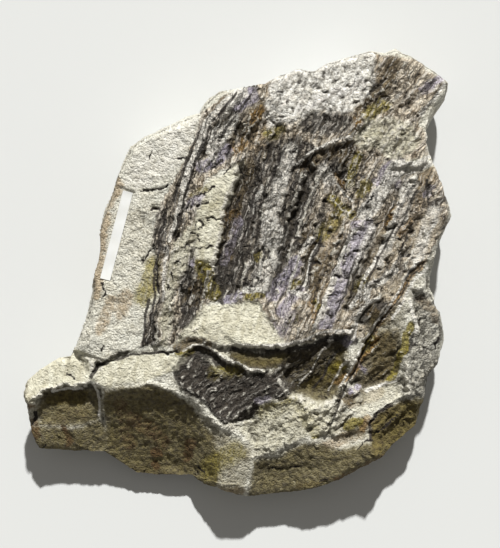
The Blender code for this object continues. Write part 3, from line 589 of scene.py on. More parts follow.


# ---- Stains, finishes, painted shade and highlights: patches are (strength, ring), streaks are (strength, half width, line) ----

HOLLOW_FACE = ((362, 342), (404, 326), (402, 374), (388, 386), (366, 392), (352, 384))
LAVENDER_RIB = (
    (352, 236), (366, 222), (378, 224), (366, 246), (356, 268), (348, 288), (342, 306), (332, 330),
    (316, 330), (324, 306), (334, 276), (344, 252),
)
TAN_RIB = (
    (318, 222), (334, 216), (340, 226), (332, 250), (326, 270), (318, 285), (306, 290), (308, 262),
    (312, 240),
)
FILM_PATCHES = (
    (0.72, ((243, 186), (250, 165), (262, 142), (290, 134), (316, 142), (322, 165), (318, 200), (308, 225),
     (300, 262), (286, 272), (264, 264), (256, 290), (236, 300), (214, 300), (206, 285), (214, 262),
     (220, 240), (226, 205), (240, 184))),
    (1.0, ((172, 368), (188, 352), (202, 353), (216, 372), (246, 374), (272, 372), (292, 352), (320, 342),
     (350, 340), (334, 368), (304, 384), (286, 396), (262, 400), (252, 420), (226, 424), (212, 414),
     (200, 400), (184, 392))),
    (0.9, ((141, 348), (146, 325), (157, 296), (161, 300), (158, 325), (159, 348))),
    (0.85, ((151, 248), (154, 222), (160, 206), (171, 214), (168, 235), (162, 252))),
    (0.9, ((174, 330), (180, 308), (178, 290), (182, 264), (192, 256), (201, 262), (206, 285), (198, 312),
     (186, 328))),
    (0.6, ((196, 168), (204, 142), (214, 128), (232, 110), (246, 97), (258, 92), (258, 104), (242, 124),
     (236, 142), (226, 162), (205, 174), (190, 188), (183, 204), (178, 188))),
    (0.55, ((160, 210), (172, 188), (184, 165), (196, 148), (200, 158), (188, 180), (180, 204),
     (170, 228))),
    (0.9, ((298, 122), (316, 112), (340, 112), (354, 118), (346, 132), (330, 138), (303, 134))),
    (0.7, ((326, 150), (352, 140), (358, 165), (347, 192), (328, 188), (314, 172))),
    (0.12, ((318, 200), (360, 186), (400, 186), (440, 190), (440, 236), (410, 262), (384, 300), (356, 330),
     (316, 328), (300, 300), (310, 262))),
    (0.35, ((374, 56), (400, 56), (424, 82), (416, 104), (392, 112), (364, 112), (370, 84))),
    (0.55, ((412, 290), (440, 296), (444, 330), (436, 372), (428, 400), (408, 404), (404, 372),
     (408, 330))),
    (0.5, ((362, 340), (404, 324), (402, 372), (390, 386), (366, 392), (352, 384))),
)
FILM_AND_SHADE_STREAKS = (
    (1.1, 9, ((246, 212), (240, 240), (232, 270), (224, 296))), (0.9, 7, ((254, 176), (248, 205))),
    (0.9, 6, ((262, 196), (254, 230))), (0.8, 5, ((322, 215), (318, 240), (308, 262))),
    (1.2, 6, ((307, 168), (303, 190), (300, 208), (292, 232))),
    (1.2, 5, ((286, 236), (282, 252), (279, 268))), (1.1, 5, ((216, 294), (220, 282), (226, 268))),
    (1.1, 6, ((268, 290), (276, 282), (284, 272))), (1.2, 3, ((200, 149), (208, 139), (217, 130))),
    (1.2, 3, ((187, 166), (195, 153))), (1.2, 3, ((236, 100), (246, 94), (256, 91))),
    (1.1, 3, ((219, 117), (226, 108), (233, 101))), (1.1, 6, ((183, 322), (190, 314))),
    (1.0, 5, ((362, 100), (370, 92), (371, 80))), (1.1, 8, ((366, 318), (380, 309))),
    (1.0, 4, ((412, 344), (408, 350))), (1.2, 3, ((444, 200), (430, 204))),
    (1.2, 3, ((330, 296), (335, 294))), (0.9, 3, ((284, 240), (290, 224), (294, 212))),
    # painted shade on the shaded wall under the tongue's lip, and on the facet below it
    (1.3, 5, ((268, 355), (284, 355), (300, 351), (318, 345), (336, 341), (352, 340))),
    (1.3, 7, ((300, 352), (284, 360), (256, 361), (236, 356))),
    (1.0, 4, ((196, 352), (210, 356), (222, 366), (240, 375))),
    (0.8, 10, ((316, 382), (326, 376), (334, 366))),
)
# Dark lines: cracks, and painted shadow beside the pale ribs
DARK_AND_SHADOW_LINES = (
    (1.2, 2.0, ((92, 376), (98, 366), (108, 361))),
    (1.0, 1.0, ((108, 361), (128, 355), (150, 354), (176, 351))),
    (0.8, 0.8, ((421, 262), (411, 277), (404, 290), (389, 314), (372, 337), (359, 364))),
    (0.9, 0.9, ((359, 364), (346, 387), (336, 412), (329, 434))),
    # painted shadow on the shaded side of the white rib
    (1.2, 1.5, ((211, 128), (204, 142), (200, 152), (194, 168), (187, 192), (181, 214), (174, 238))),
    (1.2, 1.4, ((201, 128), (194, 144), (187, 160), (180, 180), (174, 200))),
    (1.1, 1.2, ((166, 214), (160, 240), (156, 262), (154, 290), (151, 320))),
    (1.1, 1.3, ((236, 96), (222, 110), (213, 122))),
    (1.1, 1.2, ((250, 98), (236, 114), (226, 128), (218, 142))),
    (1.0, 1.2, ((270, 150), (262, 172), (255, 196), (248, 222), (240, 250))),
    (1.0, 1.2, ((280, 152), (274, 172), (268, 190))),
    (1.1, 1.0, ((356, 258), (349, 278), (343, 297), (337, 314))),
    (1.0, 1.2, ((374, 230), (364, 252), (356, 274), (350, 296))),
    (1.0, 1.2, ((396, 222), (384, 246), (374, 266), (366, 286))),
    (1.1, 1.4, ((322, 236), (316, 252), (310, 270), (306, 290))), (1.1, 1.4, ((425, 180), (428, 200))),
    (1.0, 1.2, ((416, 190), (404, 214), (394, 236))), (1.0, 1.2, ((352, 182), (358, 175), (365, 178))),
    (1.1, 1.4, ((264, 250), (270, 258))), (1.1, 1.4, ((270, 251), (264, 259))),
    (1.0, 1.3, ((338, 352), (326, 372), (314, 390))),
    (1.1, 1.4, ((372, 442), (372, 424), (380, 412), (394, 407))),
    (1.1, 1.3, ((148, 300), (145, 322), (143, 346))),
)
# Lavender: the thin film's lilac tint, partly a painted sheen
LAVENDER_AND_SHEEN_STREAKS = (
    (1.0, 6, ((236, 108), (246, 101), (253, 97))), (0.9, 7, ((203, 167), (214, 160), (226, 152))),
    (0.8, 5, ((186, 206), (196, 202), (204, 198))),
    (1.0, 7, ((273, 294), (283, 281), (292, 269), (296, 262))),
    (0.8, 6, ((282, 312), (290, 300), (300, 290))), (1.3, 4, ((227, 300), (238, 296))),
    (1.2, 6, ((357, 227), (366, 222))), (0.9, 6, ((378, 183), (386, 173), (397, 162))),
    (0.9, 4, ((394, 178), (398, 186))), (0.9, 4, ((425, 196), (430, 188))),
    (0.9, 6, ((336, 274), (345, 260), (353, 240))), (0.7, 7, ((324, 322), (334, 300), (340, 286))),
    (0.7, 5, ((424, 89), (436, 82))), (0.8, 3, ((350, 392), (360, 388))),
    (1.2, 4, ((258, 403), (268, 400))), (0.8, 4, ((190, 263), (192, 252))),
    (0.3, 8, ((300, 110), (318, 100), (340, 90), (362, 82))), (0.9, 4, ((346, 342), (352, 334))),
    (0.6, 3, ((360, 364), (368, 372))), (0.6, 6, ((224, 262), (232, 240), (238, 222))),
    (0.6, 9, ((270, 325), (282, 330), (290, 316))),
)
BROWN_AND_SHADE_STREAKS = (
    (1.3, 8, ((246, 166), (240, 190), (233, 210), (228, 235), (225, 256))),
    (1.2, 7, ((262, 108), (254, 122), (241, 134), (233, 150))),
    (1.2, 6, ((178, 348), (190, 343), (206, 344))), (1.0, 8, ((190, 300), (198, 286), (206, 276))),
    (0.9, 7, ((366, 106), (360, 118), (352, 142), (346, 162))),
    (0.9, 6, ((400, 204), (392, 218), (386, 228))), (0.6, 10, ((398, 200), (412, 190), (420, 178))),
    (0.9, 6, ((370, 310), (380, 322))), (0.8, 14, ((386, 344), (382, 372))),
    (0.7, 12, ((310, 240), (318, 262), (312, 285))), (0.7, 10, ((355, 300), (372, 262), (384, 240))),
    (0.9, 6, ((330, 198), (340, 208), (352, 212))),
    # the first: painted shade under the upper ledge
    (0.8, 6, ((302, 168), (312, 160), (330, 154), (352, 148))), (0.8, 8, ((206, 334), (214, 332))),
    (0.8, 8, ((392, 66), (384, 84), (378, 98))), (1.0, 10, ((76, 398), (60, 394), (50, 398))),
    (0.8, 8, ((345, 400), (360, 396))),
)
BROWN_PATCHES = (
    (0.4, ((104, 420), (100, 410), (104, 392), (150, 387), (170, 394), (188, 412), (196, 436), (190, 470),
     (160, 500), (100, 500))),
    (0.8, ((372, 424), (380, 412), (402, 404), (420, 400), (446, 404), (432, 444), (402, 464),
     (370, 456))),
    (0.6, HOLLOW_FACE),
)
# Olive-brown wash over the faces that turn down away from the light: partly stain, partly painted shade
WASH_AND_SHADE_PATCHES = (
    (1.0, ((102, 423), (99, 412), (102, 389), (150, 384), (170, 391), (188, 402), (200, 418), (214, 438),
     (222, 460), (216, 500), (90, 500))),
    (0.55, ((190, 400), (206, 414), (221, 430), (243, 441), (252, 454), (254, 478), (240, 500), (200, 500),
     (205, 440))),
    (0.9, ((252, 463), (278, 459), (304, 443), (340, 450), (372, 443), (392, 458), (384, 478), (336, 500),
     (262, 515), (246, 510))),
    (1.0, ((372, 424), (380, 412), (402, 404), (420, 396), (446, 400), (432, 444), (402, 470),
     (370, 456))),
    (1.0, ((20, 424), (36, 426), (54, 431), (76, 430), (94, 421), (104, 432), (106, 475), (20, 475))),
    (0.9, ((34, 404), (48, 393), (62, 387), (75, 390), (99, 386), (101, 412), (94, 426), (56, 432),
     (34, 428))),
    (1.0, ((290, 354), (345, 342), (348, 372), (338, 398), (318, 404), (292, 395), (282, 372))),
    (0.5, ((368, 316), (404, 300), (408, 330), (404, 372), (388, 386), (366, 392), (352, 384),
     (364, 340))),
    (0.8, ((222, 351), (262, 355), (304, 352), (290, 366), (262, 368), (238, 364))),
    (0.45, ((236, 428), (262, 412), (300, 410), (334, 406), (372, 420), (370, 444), (300, 441), (276, 458),
     (256, 462), (246, 442))),
)
TAN_STREAKS = (
    (1.0, 7, ((118, 186), (108, 206), (102, 232), (98, 262), (96, 292))),
    (0.8, 4, ((27, 378), (28, 396), (31, 404))), (0.7, 5, ((112, 298), (106, 316), (100, 330))),
    (0.7, 8, ((126, 296), (120, 312))), (0.9, 8, ((262, 128), (254, 142), (264, 150))),
    (0.9, 12, ((336, 222), (328, 248), (318, 276), (312, 298))),
    (0.7, 12, ((426, 178), (414, 200), (404, 222))), (0.6, 8, ((398, 296), (386, 318))),
    (0.7, 6, ((352, 404), (366, 400), (380, 394))), (0.7, 6, ((330, 448), (344, 440), (360, 436))),
    (0.8, 4, ((130, 474), (170, 480), (210, 490), (240, 492))),
    (0.7, 4, ((300, 488), (330, 480), (366, 466))), (0.7, 4, ((420, 300), (432, 310), (434, 322))),
    (0.6, 8, ((372, 60), (380, 76))), (0.5, 9, ((60, 416), (80, 410))), (0.5, 10, ((304, 420), (322, 426))),
)
OCHRE_STREAKS = (
    (1.2, 3.5, ((311, 304), (314, 314), (316, 324))), (1.3, 4, ((364, 429), (371, 420))),
    (1.2, 4, ((338, 385), (347, 378))), (1.0, 5, ((234, 152), (244, 144))),
    (0.8, 5, ((254, 119), (263, 111))), (0.8, 4, ((392, 222), (400, 208), (406, 200))),
    (0.8, 4, ((398, 234), (408, 222))), (0.8, 5, ((356, 122), (367, 118))),
    (0.7, 4, ((268, 92), (275, 101))),
    (0.9, 2.2, ((420, 262), (410, 279), (400, 293), (388, 313), (371, 336))),
    (1.3, 4, ((350, 377), (359, 362), (369, 346), (376, 338))), (0.8, 4, ((394, 212), (386, 222))),
    (0.8, 3, ((336, 176), (344, 186))), (0.6, 5, ((206, 216), (236, 214))),
)
OLIVE_STREAKS = (
    (1.4, 4, ((350, 184), (353, 170), (358, 156))), (1.3, 6, ((366, 118), (374, 110), (384, 104))),
    (0.9, 5, ((366, 137), (377, 132))), (1.1, 6, ((270, 134), (280, 128))),
    (1.0, 5, ((360, 192), (368, 184))), (1.0, 5, ((333, 198), (342, 208), (349, 214))),
    (1.2, 4, ((206, 207), (220, 205))), (1.2, 7, ((201, 264), (208, 280), (213, 294))),
    (1.3, 4, ((248, 299), (262, 293))), (1.2, 3, ((316, 302), (319, 308))),
    (1.1, 4, ((287, 323), (296, 318))), (1.1, 5, ((356, 287), (364, 281))),
    (1.3, 3.5, ((411, 326), (406, 346), (399, 364), (391, 382))), (1.2, 4, ((365, 349), (370, 336))),
    (1.0, 5, ((333, 371), (341, 366))), (1.2, 5, ((302, 410), (308, 424), (317, 435))),
    (1.0, 5, ((350, 428), (360, 424))), (0.7, 7, ((340, 212), (332, 224), (322, 234))),
    (0.7, 10, ((153, 264), (150, 284), (142, 297))), (0.6, 12, ((236, 452), (222, 462), (210, 472))),
    (1.0, 4, ((178, 355), (190, 352))), (0.7, 7, ((214, 374), (238, 370))),
    (0.7, 8, ((290, 404), (262, 414))), (0.9, 4, ((258, 258), (272, 252))),
    (0.7, 5, ((206, 190), (196, 196))), (0.8, 5, ((298, 282), (294, 290))),
)
RUST_STREAKS = (
    (1.2, 4, ((152, 456), (156, 457))), (1.1, 3, ((152, 469), (155, 472))),
    (0.55, 9, ((128, 422), (146, 430), (160, 446))), (0.5, 7, ((118, 404), (122, 424), (126, 448))),
    (0.8, 4, ((60, 432), (66, 444))), (0.7, 4, ((28, 388), (30, 404))), (0.8, 4, ((32, 422), (36, 436))),
    (0.8, 5, ((190, 446), (186, 462))), (0.7, 4, ((336, 478), (360, 470), (384, 456))),
)
PALE_PATCHES = (
    (0.8, ((246, 160), (238, 186), (226, 212), (221, 240), (216, 262), (206, 266), (196, 258), (188, 262),
     (176, 290), (172, 330), (166, 350), (158, 345), (162, 300), (166, 262), (176, 240), (196, 215),
     (206, 186), (224, 170))),
    (1.0, ((203, 306), (245, 302), (262, 304), (268, 318), (290, 346), (250, 349), (225, 345), (205, 338),
     (190, 336), (172, 345), (182, 330))),
    (1.0, ((88, 377), (100, 364), (112, 359), (135, 354), (165, 353), (188, 358), (178, 370), (150, 380),
     (102, 388))),
    (0.9, ((20, 402), (20, 376), (40, 348), (62, 340), (84, 350), (96, 378), (75, 388), (62, 385),
     (48, 391), (36, 402))),
    (0.7, ((350, 140), (364, 118), (388, 116), (414, 124), (418, 150), (396, 164), (374, 150),
     (360, 152))),
    (0.8, ((384, 172), (396, 162), (428, 156), (436, 168), (420, 172), (400, 172))),
    (0.6, ((236, 428), (262, 410), (300, 400), (330, 400), (338, 436), (300, 441), (276, 456), (258, 460),
     (246, 442))),
    (0.5, ((364, 392), (402, 379), (408, 402), (380, 410), (370, 424), (352, 415), (352, 398))),
)
# Pale lines: pale ribs and bare stone, and painted highlights along lips and ridges, some on walls in shade
PALE_AND_HIGHLIGHT_STREAKS = (
    (0.6, 8, ((290, 148), (282, 176), (274, 206), (268, 232))),
    (0.65, 9, ((276, 240), (268, 262), (262, 284))), (0.6, 7, ((322, 170), (330, 180))),
    (0.7, 6, ((234, 118), (222, 136), (212, 156))), (0.8, 5, ((230, 104), (244, 95))),
    (0.6, 8, ((410, 182), (404, 204), (398, 222))), (0.6, 7, ((432, 212), (424, 236), (416, 256))),
    (0.6, 6, ((372, 226), (364, 248), (356, 270))), (0.6, 6, ((392, 232), (384, 250), (378, 262))),
    (0.8, 1.6, ((262, 345), (284, 345), (300, 341), (318, 334), (336, 331), (352, 331))),
    (0.6, 1.4, ((182, 351), (198, 344), (211, 347), (222, 358), (240, 366), (262, 369))),
    (0.9, 1.3, ((416, 262), (406, 278), (399, 290), (384, 314), (366, 338), (352, 366), (340, 390))),
    # the first: painted highlight on the knob's ridge, which lies in shade
    (0.8, 1.6, ((92, 383), (97, 392), (98, 404), (96, 418))), (0.8, 1.4, ((50, 392), (66, 388), (80, 390))),
    (1.3, 3, ((365, 297), (366, 289), (375, 283), (384, 280), (389, 273), (396, 270))),
    (1.3, 2.2, ((352, 338), (357, 322), (360, 310), (367, 302), (377, 298))),
    (1.1, 8, ((364, 212), (380, 194), (392, 176), (398, 168))),
    (1.4, 1.8, ((356, 230), (347, 243), (340, 258), (333, 275), (326, 298), (321, 312), (314, 330))),
    (1.0, 1.6, ((440, 88), (430, 102), (420, 116))),
    (1.6, 2.1, ((206, 126), (200, 140), (197, 150), (190, 170), (184, 190), (177, 215), (170, 240))),
    (1.3, 1.6, ((214, 118), (206, 132), (202, 146), (195, 165))),
    (1.3, 1.6, ((196, 152), (188, 168), (182, 186))), (1.2, 1.4, ((166, 246), (164, 270), (162, 300))),
    (1.4, 1.8, ((242, 90), (228, 100), (214, 114), (206, 126))),
    (1.2, 1.4, ((232, 108), (220, 122), (212, 138), (206, 152))),
    (1.2, 1.4, ((296, 150), (286, 168), (279, 186))), (1.1, 1.3, ((276, 190), (268, 210), (262, 228))),
    (0.8, 1.3, ((296, 165), (308, 152), (328, 145), (350, 137))),
    # the second: painted highlight on the shaded wall under the bright crest
    (1.3, 2.0, ((395, 167), (412, 164), (433, 157))), (0.9, 3.0, ((396, 173), (413, 170), (432, 164))),
    (0.8, 1.2, ((330, 175), (338, 186), (345, 195), (352, 200))),
    (0.6, 1.1, ((333, 200), (342, 209), (350, 212))),
    (1.1, 1.3, ((424, 266), (412, 284), (403, 300), (392, 320))),
    (1.0, 1.4, ((300, 256), (292, 276), (288, 292))), (1.0, 1.3, ((318, 244), (310, 264), (304, 286))),
    (1.1, 1.5, ((388, 236), (374, 260), (362, 284), (352, 306))),
    (1.0, 1.4, ((408, 190), (396, 212), (386, 234))), (1.0, 1.3, ((434, 222), (424, 244), (414, 262))),
    (0.7, 1.2, ((346, 360), (338, 376), (330, 392))), (1.1, 1.6, ((368, 392), (384, 386), (400, 380))),
    (0.6, 1.0, ((325, 347), (318, 360), (306, 376), (298, 388))),
    (0.5, 1.0, ((262, 408), (282, 392), (304, 378))), (0.4, 0.9, ((244, 402), (262, 390), (284, 378))),
    (0.9, 2.0, ((410, 300), (414, 316), (419, 332))), (1.0, 3, ((244, 291), (262, 289))),
    (1.0, 3, ((294, 292), (306, 298))), (0.9, 4, ((260, 276), (266, 282))),
    (0.9, 5, ((264, 242), (276, 240))), (0.8, 4, ((268, 222), (280, 228))),
    (0.8, 3, ((302, 252), (312, 238))), (0.8, 2, ((262, 186), (256, 200), (252, 212))),
)
WEATHERED = (
    (1.0, ((272, 78), (300, 70), (330, 62), (372, 54), (376, 72), (368, 92), (352, 112), (320, 112),
     (296, 122), (268, 130), (266, 104))),
    (0.5, ((120, 190), (134, 150), (150, 138), (187, 119), (208, 110), (198, 136), (182, 168),
     (150, 190))),
)
SMOOTH_BARK = (
    LAVENDER_RIB,
    TAN_RIB,
    ((380, 228), (398, 226), (404, 244), (392, 262), (378, 280), (364, 286), (352, 300), (346, 318),
     (340, 330), (336, 328), (344, 306), (352, 288), (358, 268), (368, 248)),
    ((366, 304), (384, 288), (398, 276), (408, 270), (398, 292), (384, 312), (372, 326), (360, 338),
     (354, 336), (358, 320)),
    ((404, 232), (420, 214), (436, 210), (438, 236), (424, 256), (410, 262), (404, 250)),
)
SPLIT = (
    HOLLOW_FACE,
    STRIATED_BLOCK,
    ((300, 400), (345, 385), (366, 392), (360, 420), (345, 438), (310, 434)),
)
CRUMPLED = (
    ((268, 150), (300, 136), (330, 136), (322, 160), (304, 186), (292, 236), (280, 272), (258, 296),
     (246, 290), (258, 262), (262, 225), (266, 180)),
    ((186, 190), (204, 186), (196, 262), (204, 290), (190, 330), (168, 346), (160, 300), (170, 240)),
    ((206, 128), (226, 104), (262, 92), (270, 120), (262, 150), (236, 150), (216, 160)),
    ((320, 150), (352, 140), (366, 170), (350, 214), (330, 200)),
    ((374, 54), (412, 56), (440, 86), (430, 130), (380, 150), (350, 140), (364, 100)),
    ((410, 290), (446, 290), (446, 372), (430, 425), (404, 405), (402, 372)),
)
CRACKS = (
    ((353, 235), (359, 236)), ((353, 249), (359, 250)), ((343, 258), (351, 259)), ((331, 276), (339, 277)),
    ((343, 277), (349, 276)), ((328, 295), (334, 297)), ((325, 314), (332, 315)), ((364, 220), (370, 221)),
    ((379, 221), (384, 222)), ((372, 257), (380, 258)), ((374, 268), (381, 269)), ((401, 255), (409, 256)),
    ((358, 277), (364, 278)), ((387, 228), (393, 229)), ((394, 239), (400, 240)), ((314, 243), (326, 245)),
    ((310, 262), (322, 263)), ((143, 192), (150, 190), (158, 188)), ((158, 189), (165, 187), (172, 183)),
    ((152, 209), (160, 207)), ((184, 208), (196, 206), (207, 202)), ((203, 219), (214, 219), (225, 221)),
    ((196, 249), (204, 249), (212, 247)), ((142, 262), (147, 252), (152, 248)), ((152, 249), (165, 248)),
    ((157, 262), (158, 275), (157, 294)), ((99, 352), (106, 344)), ((103, 282), (107, 290)),
    ((104, 297), (107, 293)), ((149, 158), (152, 152)), ((178, 159), (186, 158)), ((205, 169), (213, 160)),
    ((211, 169), (222, 160)), ((222, 173), (230, 165)), ((200, 196), (208, 190), (214, 188)),
    ((176, 226), (179, 215)), ((176, 241), (179, 232)), ((195, 223), (199, 219), (203, 224), (199, 229)),
    ((190, 233), (196, 234), (199, 240)), ((184, 246), (188, 243), (190, 247)), ((172, 272), (173, 279)),
    ((167, 291), (168, 286)), ((175, 263), (179, 261)), ((172, 302), (175, 295)), ((181, 312), (184, 304)),
    ((158, 354), (178, 351)), ((66, 374), (74, 380)), ((36, 412), (33, 424)),
    ((44, 444), (41, 450), (48, 453)), ((252, 274), (262, 282)), ((244, 282), (254, 286)),
    ((286, 148), (278, 162), (270, 174)), ((370, 283), (380, 280)), ((434, 348), (436, 338)),
    ((420, 320), (422, 332)), ((402, 256), (410, 254)), ((354, 250), (360, 250)), ((342, 256), (348, 254)),
    ((408, 236), (400, 248), (396, 262)), ((428, 184), (432, 196)), ((374, 196), (366, 202)),
    ((204, 476), (196, 470)), ((270, 472), (292, 472), (304, 470)), ((372, 424), (380, 412), (392, 408)),
    ((386, 430), (398, 418)), ((378, 436), (390, 428)), ((318, 480), (326, 479)),
    ((358, 452), (366, 444), (374, 442)), ((264, 194), (256, 206), (252, 216)), ((302, 146), (290, 152)),
    ((250, 247), (242, 246)), ((300, 250), (310, 244), (318, 236)), ((226, 286), (236, 278)),
    ((240, 164), (244, 174)), ((283, 93), (276, 92)),
)
PITS = (
    (295, 94), (322, 94), (283, 113), (304, 119), (292, 107), (333, 106), (352, 77), (281, 91), (310, 86),
    (330, 83), (344, 71), (272, 123), (268, 116), (318, 88), (357, 98), (366, 83), (352, 256), (359, 250),
    (382, 242), (377, 268), (335, 295), (331, 314), (338, 276), (347, 275), (393, 228), (405, 254),
    (400, 240), (358, 279), (385, 286), (352, 322), (392, 204), (418, 206), (438, 205), (412, 186),
    (398, 190), (366, 207), (420, 172), (430, 180), (346, 245), (372, 296), (410, 232), (421, 240),
    (426, 256), (388, 262), (364, 262), (316, 262), (324, 241), (310, 276), (318, 290), (306, 262),
    (300, 232), (254, 122), (240, 128), (236, 176),
)
TAN_PATCHES = ((1.1, TAN_RIB), *((0.6, ring) for ring in SMOOTH_BARK[2:]))
COVERS = (
    # value on the points, its patches, their softness, its streaks
    ("weathered", WEATHERED, 14, ()),
    ("olive_wash_and_painted_shade", WASH_AND_SHADE_PATCHES, 14, ()),
    ("pale", PALE_PATCHES, 9, ()),
    ("film_and_painted_shade", FILM_PATCHES, 12, FILM_AND_SHADE_STREAKS),
    ("brown", BROWN_PATCHES, 12, BROWN_AND_SHADE_STREAKS),
    ("lavender_and_painted_sheen", ((0.8, LAVENDER_RIB),), 6, LAVENDER_AND_SHEEN_STREAKS),
    ("ochre", (), 1, OCHRE_STREAKS),
    ("olive", (), 1, OLIVE_STREAKS),
    ("rust", (), 1, RUST_STREAKS),
    ("crack", (), 1, [(1.0, 0.9, crack) for crack in CRACKS]),
)

# ---- Fine relief, and the values on the plate's points that its material reads ----

# Inside the pocket the grain is turned about a place, so that it runs up to the right
POCKET_MIDDLE, POCKET_GRAIN, POCKET_TURN = (262, 385), (300, 385), (0.59, 0.81)
SPLIT_ACROSS = (0.64, 0.77)

# Depth of the fine relief, in millimetres
STRIA, RIDGE, SPLINTER_STEP, FLAT_CHIP = 1.2, 1.5, 3.0, 1.0
STONE_FLAT, STONE_CHIP, GRIT, SPLIT_DEPTH = 2.2, 0.4, 0.3, 3.2
CRACK_DEPTH, CRACK_HALF_WIDE, PIT_DEPTH, PIT_AREA = 1.3, 1.1, 1.7, 4.5

# Painted shade in hollows, and worn edges: the steps round a place that it is compared over, and the mm that
# make a full one
NEAR_STEPS, NEAR_HEIGHT, FAR_STEPS, FAR_HEIGHT = 2, 1.6, 9, 4.5


def flaked(u, v, size, seed):
    """Flat chips about `size` steps across, each at its own height and tilt, from about -1 to 1."""
    east, south, level, tilt_right, tilt_down = (table_of(seed + number) for number in range(5))
    column, row = np.floor(u / size), np.floor(v / size)
    nearest, height = np.full(u.shape, 9.0), np.zeros(u.shape)
    for right in (-1, 0, 1):
        for down in (-1, 0, 1):
            i, j = (column + right).astype(int) % NOISE_TABLE, (row + down).astype(int) % NOISE_TABLE
            x = u / size - column - right - east[i, j]
            y = v / size - row - down - south[i, j]
            away = x * x + y * y
            tilt = (tilt_right[i, j] - 0.5) * x + (tilt_down[i, j] - 0.5) * y
            height = np.where(away < nearest, 1.2 * (level[i, j] - 0.5) + 2.0 * tilt, height)
            nearest = np.minimum(nearest, away)
    return height


def ragged(u, v):
    """Places pushed about on the scale of single chips, so that every broken edge is jagged."""
    right = u + 1.3 * flaked(u, v, 5, 161) + 0.7 * noise(u, v, 2.5, 171)
    down = v + 1.3 * flaked(u, v, 5, 181) + 0.7 * noise(u, v, 2.5, 191)
    return right, down


def grain_of(u, v):
    """Places across and along the grain, which turns to run up to the right inside the pocket."""
    in_pocket = areas(u, v, (POCKET,), 8)
    x, y = u - POCKET_MIDDLE[0], v - POCKET_MIDDLE[1]
    across = POCKET_GRAIN[0] + POCKET_TURN[0] * x + POCKET_TURN[1] * y
    along = POCKET_GRAIN[1] + POCKET_TURN[1] * x - POCKET_TURN[0] * y
    return between(growth_line(u, v), across, in_pocket), between(v, along, in_pocket)


def fine_relief(u, v):
    """Splinters along the bark's grain, chips and grit on the bare stone, drawn cracks and pits, in mm."""
    line, along = grain_of(u, v)
    crumpled = areas(u, v, CRUMPLED, 10)
    striae = STRIA * ridged(line, 0.07 * along, 5, 151, octaves=2)
    steps = terraces(layered(line, 0.5 * along, 9, 251, octaves=3, keep=0.6), 4, 4.0)
    flakes = RIDGE * ridged(line, 0.42 * along, 11, 141, octaves=3, keep=0.6) + SPLINTER_STEP * steps
    flakes = flakes + FLAT_CHIP * flaked(line, 0.6 * along, 6, 261)
    on_bark = striae * (1 - 0.6 * crumpled) + flakes * (0.45 + 0.55 * crumpled)
    on_bark = on_bark * (1 - 0.75 * areas(u, v, SMOOTH_BARK, 6))
    flats = STONE_FLAT * terraces(layered(u, v, 16, 221, octaves=4, keep=0.6), 4, 5.0)
    patchy = 0.55 + 0.45 * smooth(0.5 + 1.2 * noise(u, v, 30, 241))
    on_stone = flats * (patchy + 0.5 * areas(u, v, HACKLED, 10)) + STONE_CHIP * flaked(u, v, 9, 231)
    calmed = 1 - 0.5 * areas(u, v, CALM[:4], 6) - 0.25 * areas(u, v, CALM[2:3], 8)
    z = between(on_stone, on_bark, bark_share(u, v)) * calmed
    z = z + GRIT * layered(u, v, 2.4, 144, octaves=2)
    across_split = SPLIT_ACROSS[0] * u + SPLIT_ACROSS[1] * v
    along_split = SPLIT_ACROSS[1] * u - SPLIT_ACROSS[0] * v
    splits = ridged(across_split, 0.12 * along_split, 7, 271, octaves=3)
    z = z + SPLIT_DEPTH * splits * areas(u, v, SPLIT, 8)
    for crack in CRACKS:
        z = seam(z, u, v, crack, -CRACK_DEPTH, CRACK_HALF_WIDE, taper=3.0)
    for right, down in PITS:
        z = z - PIT_DEPTH * np.exp(-((((u - right) ** 2 + (v - down) ** 2) / PIT_AREA) ** 1.2))
    return z


def fine_face(u, v):
    right, down = ragged(u, v)
    return face_height(right, down) + fine_relief(*pushed(right, down))


def blurred(grid, reach):
    """The grid with each value spread evenly over its neighbours, three times over."""
    for axis in (0, 1, 0, 1, 0, 1):
        ends = [(reach + 1, reach) if side == axis else (0, 0) for side in (0, 1)]
        total = np.cumsum(np.pad(grid, ends, mode="edge"), axis=axis)
        count = grid.shape[axis]
        upper = np.take(total, np.arange(count) + 2 * reach + 1, axis=axis)
        lower = np.take(total, np.arange(count), axis=axis)
        grid = (upper - lower) / (2 * reach + 1)
    return grid


def sheet_heights():
    """The face's height at every step of the sheet, and the rim's height off the plate."""
    column, row = np.meshgrid(np.arange(0.0, SHEET_WIDTH), np.arange(0.0, SHEET_HEIGHT))
    return np.where(area_field(column, row, OUTLINE) > 2, fine_face(column, row), RIM)


def stands_out(heights, u, v, reach):
    """How far the face stands over the mean height round it, in millimetres."""
    over = heights - blurred(heights, reach)
    i, j = np.clip(v.astype(int), 0, SHEET_HEIGHT - 2), np.clip(u.astype(int), 0, SHEET_WIDTH - 2)
    f, g = np.clip(v - i, 0, 1), np.clip(u - j, 0, 1)
    upper, lower = (between(over[down, j], over[down, j + 1], g) for down in (i, i + 1))
    return between(upper, lower, f)


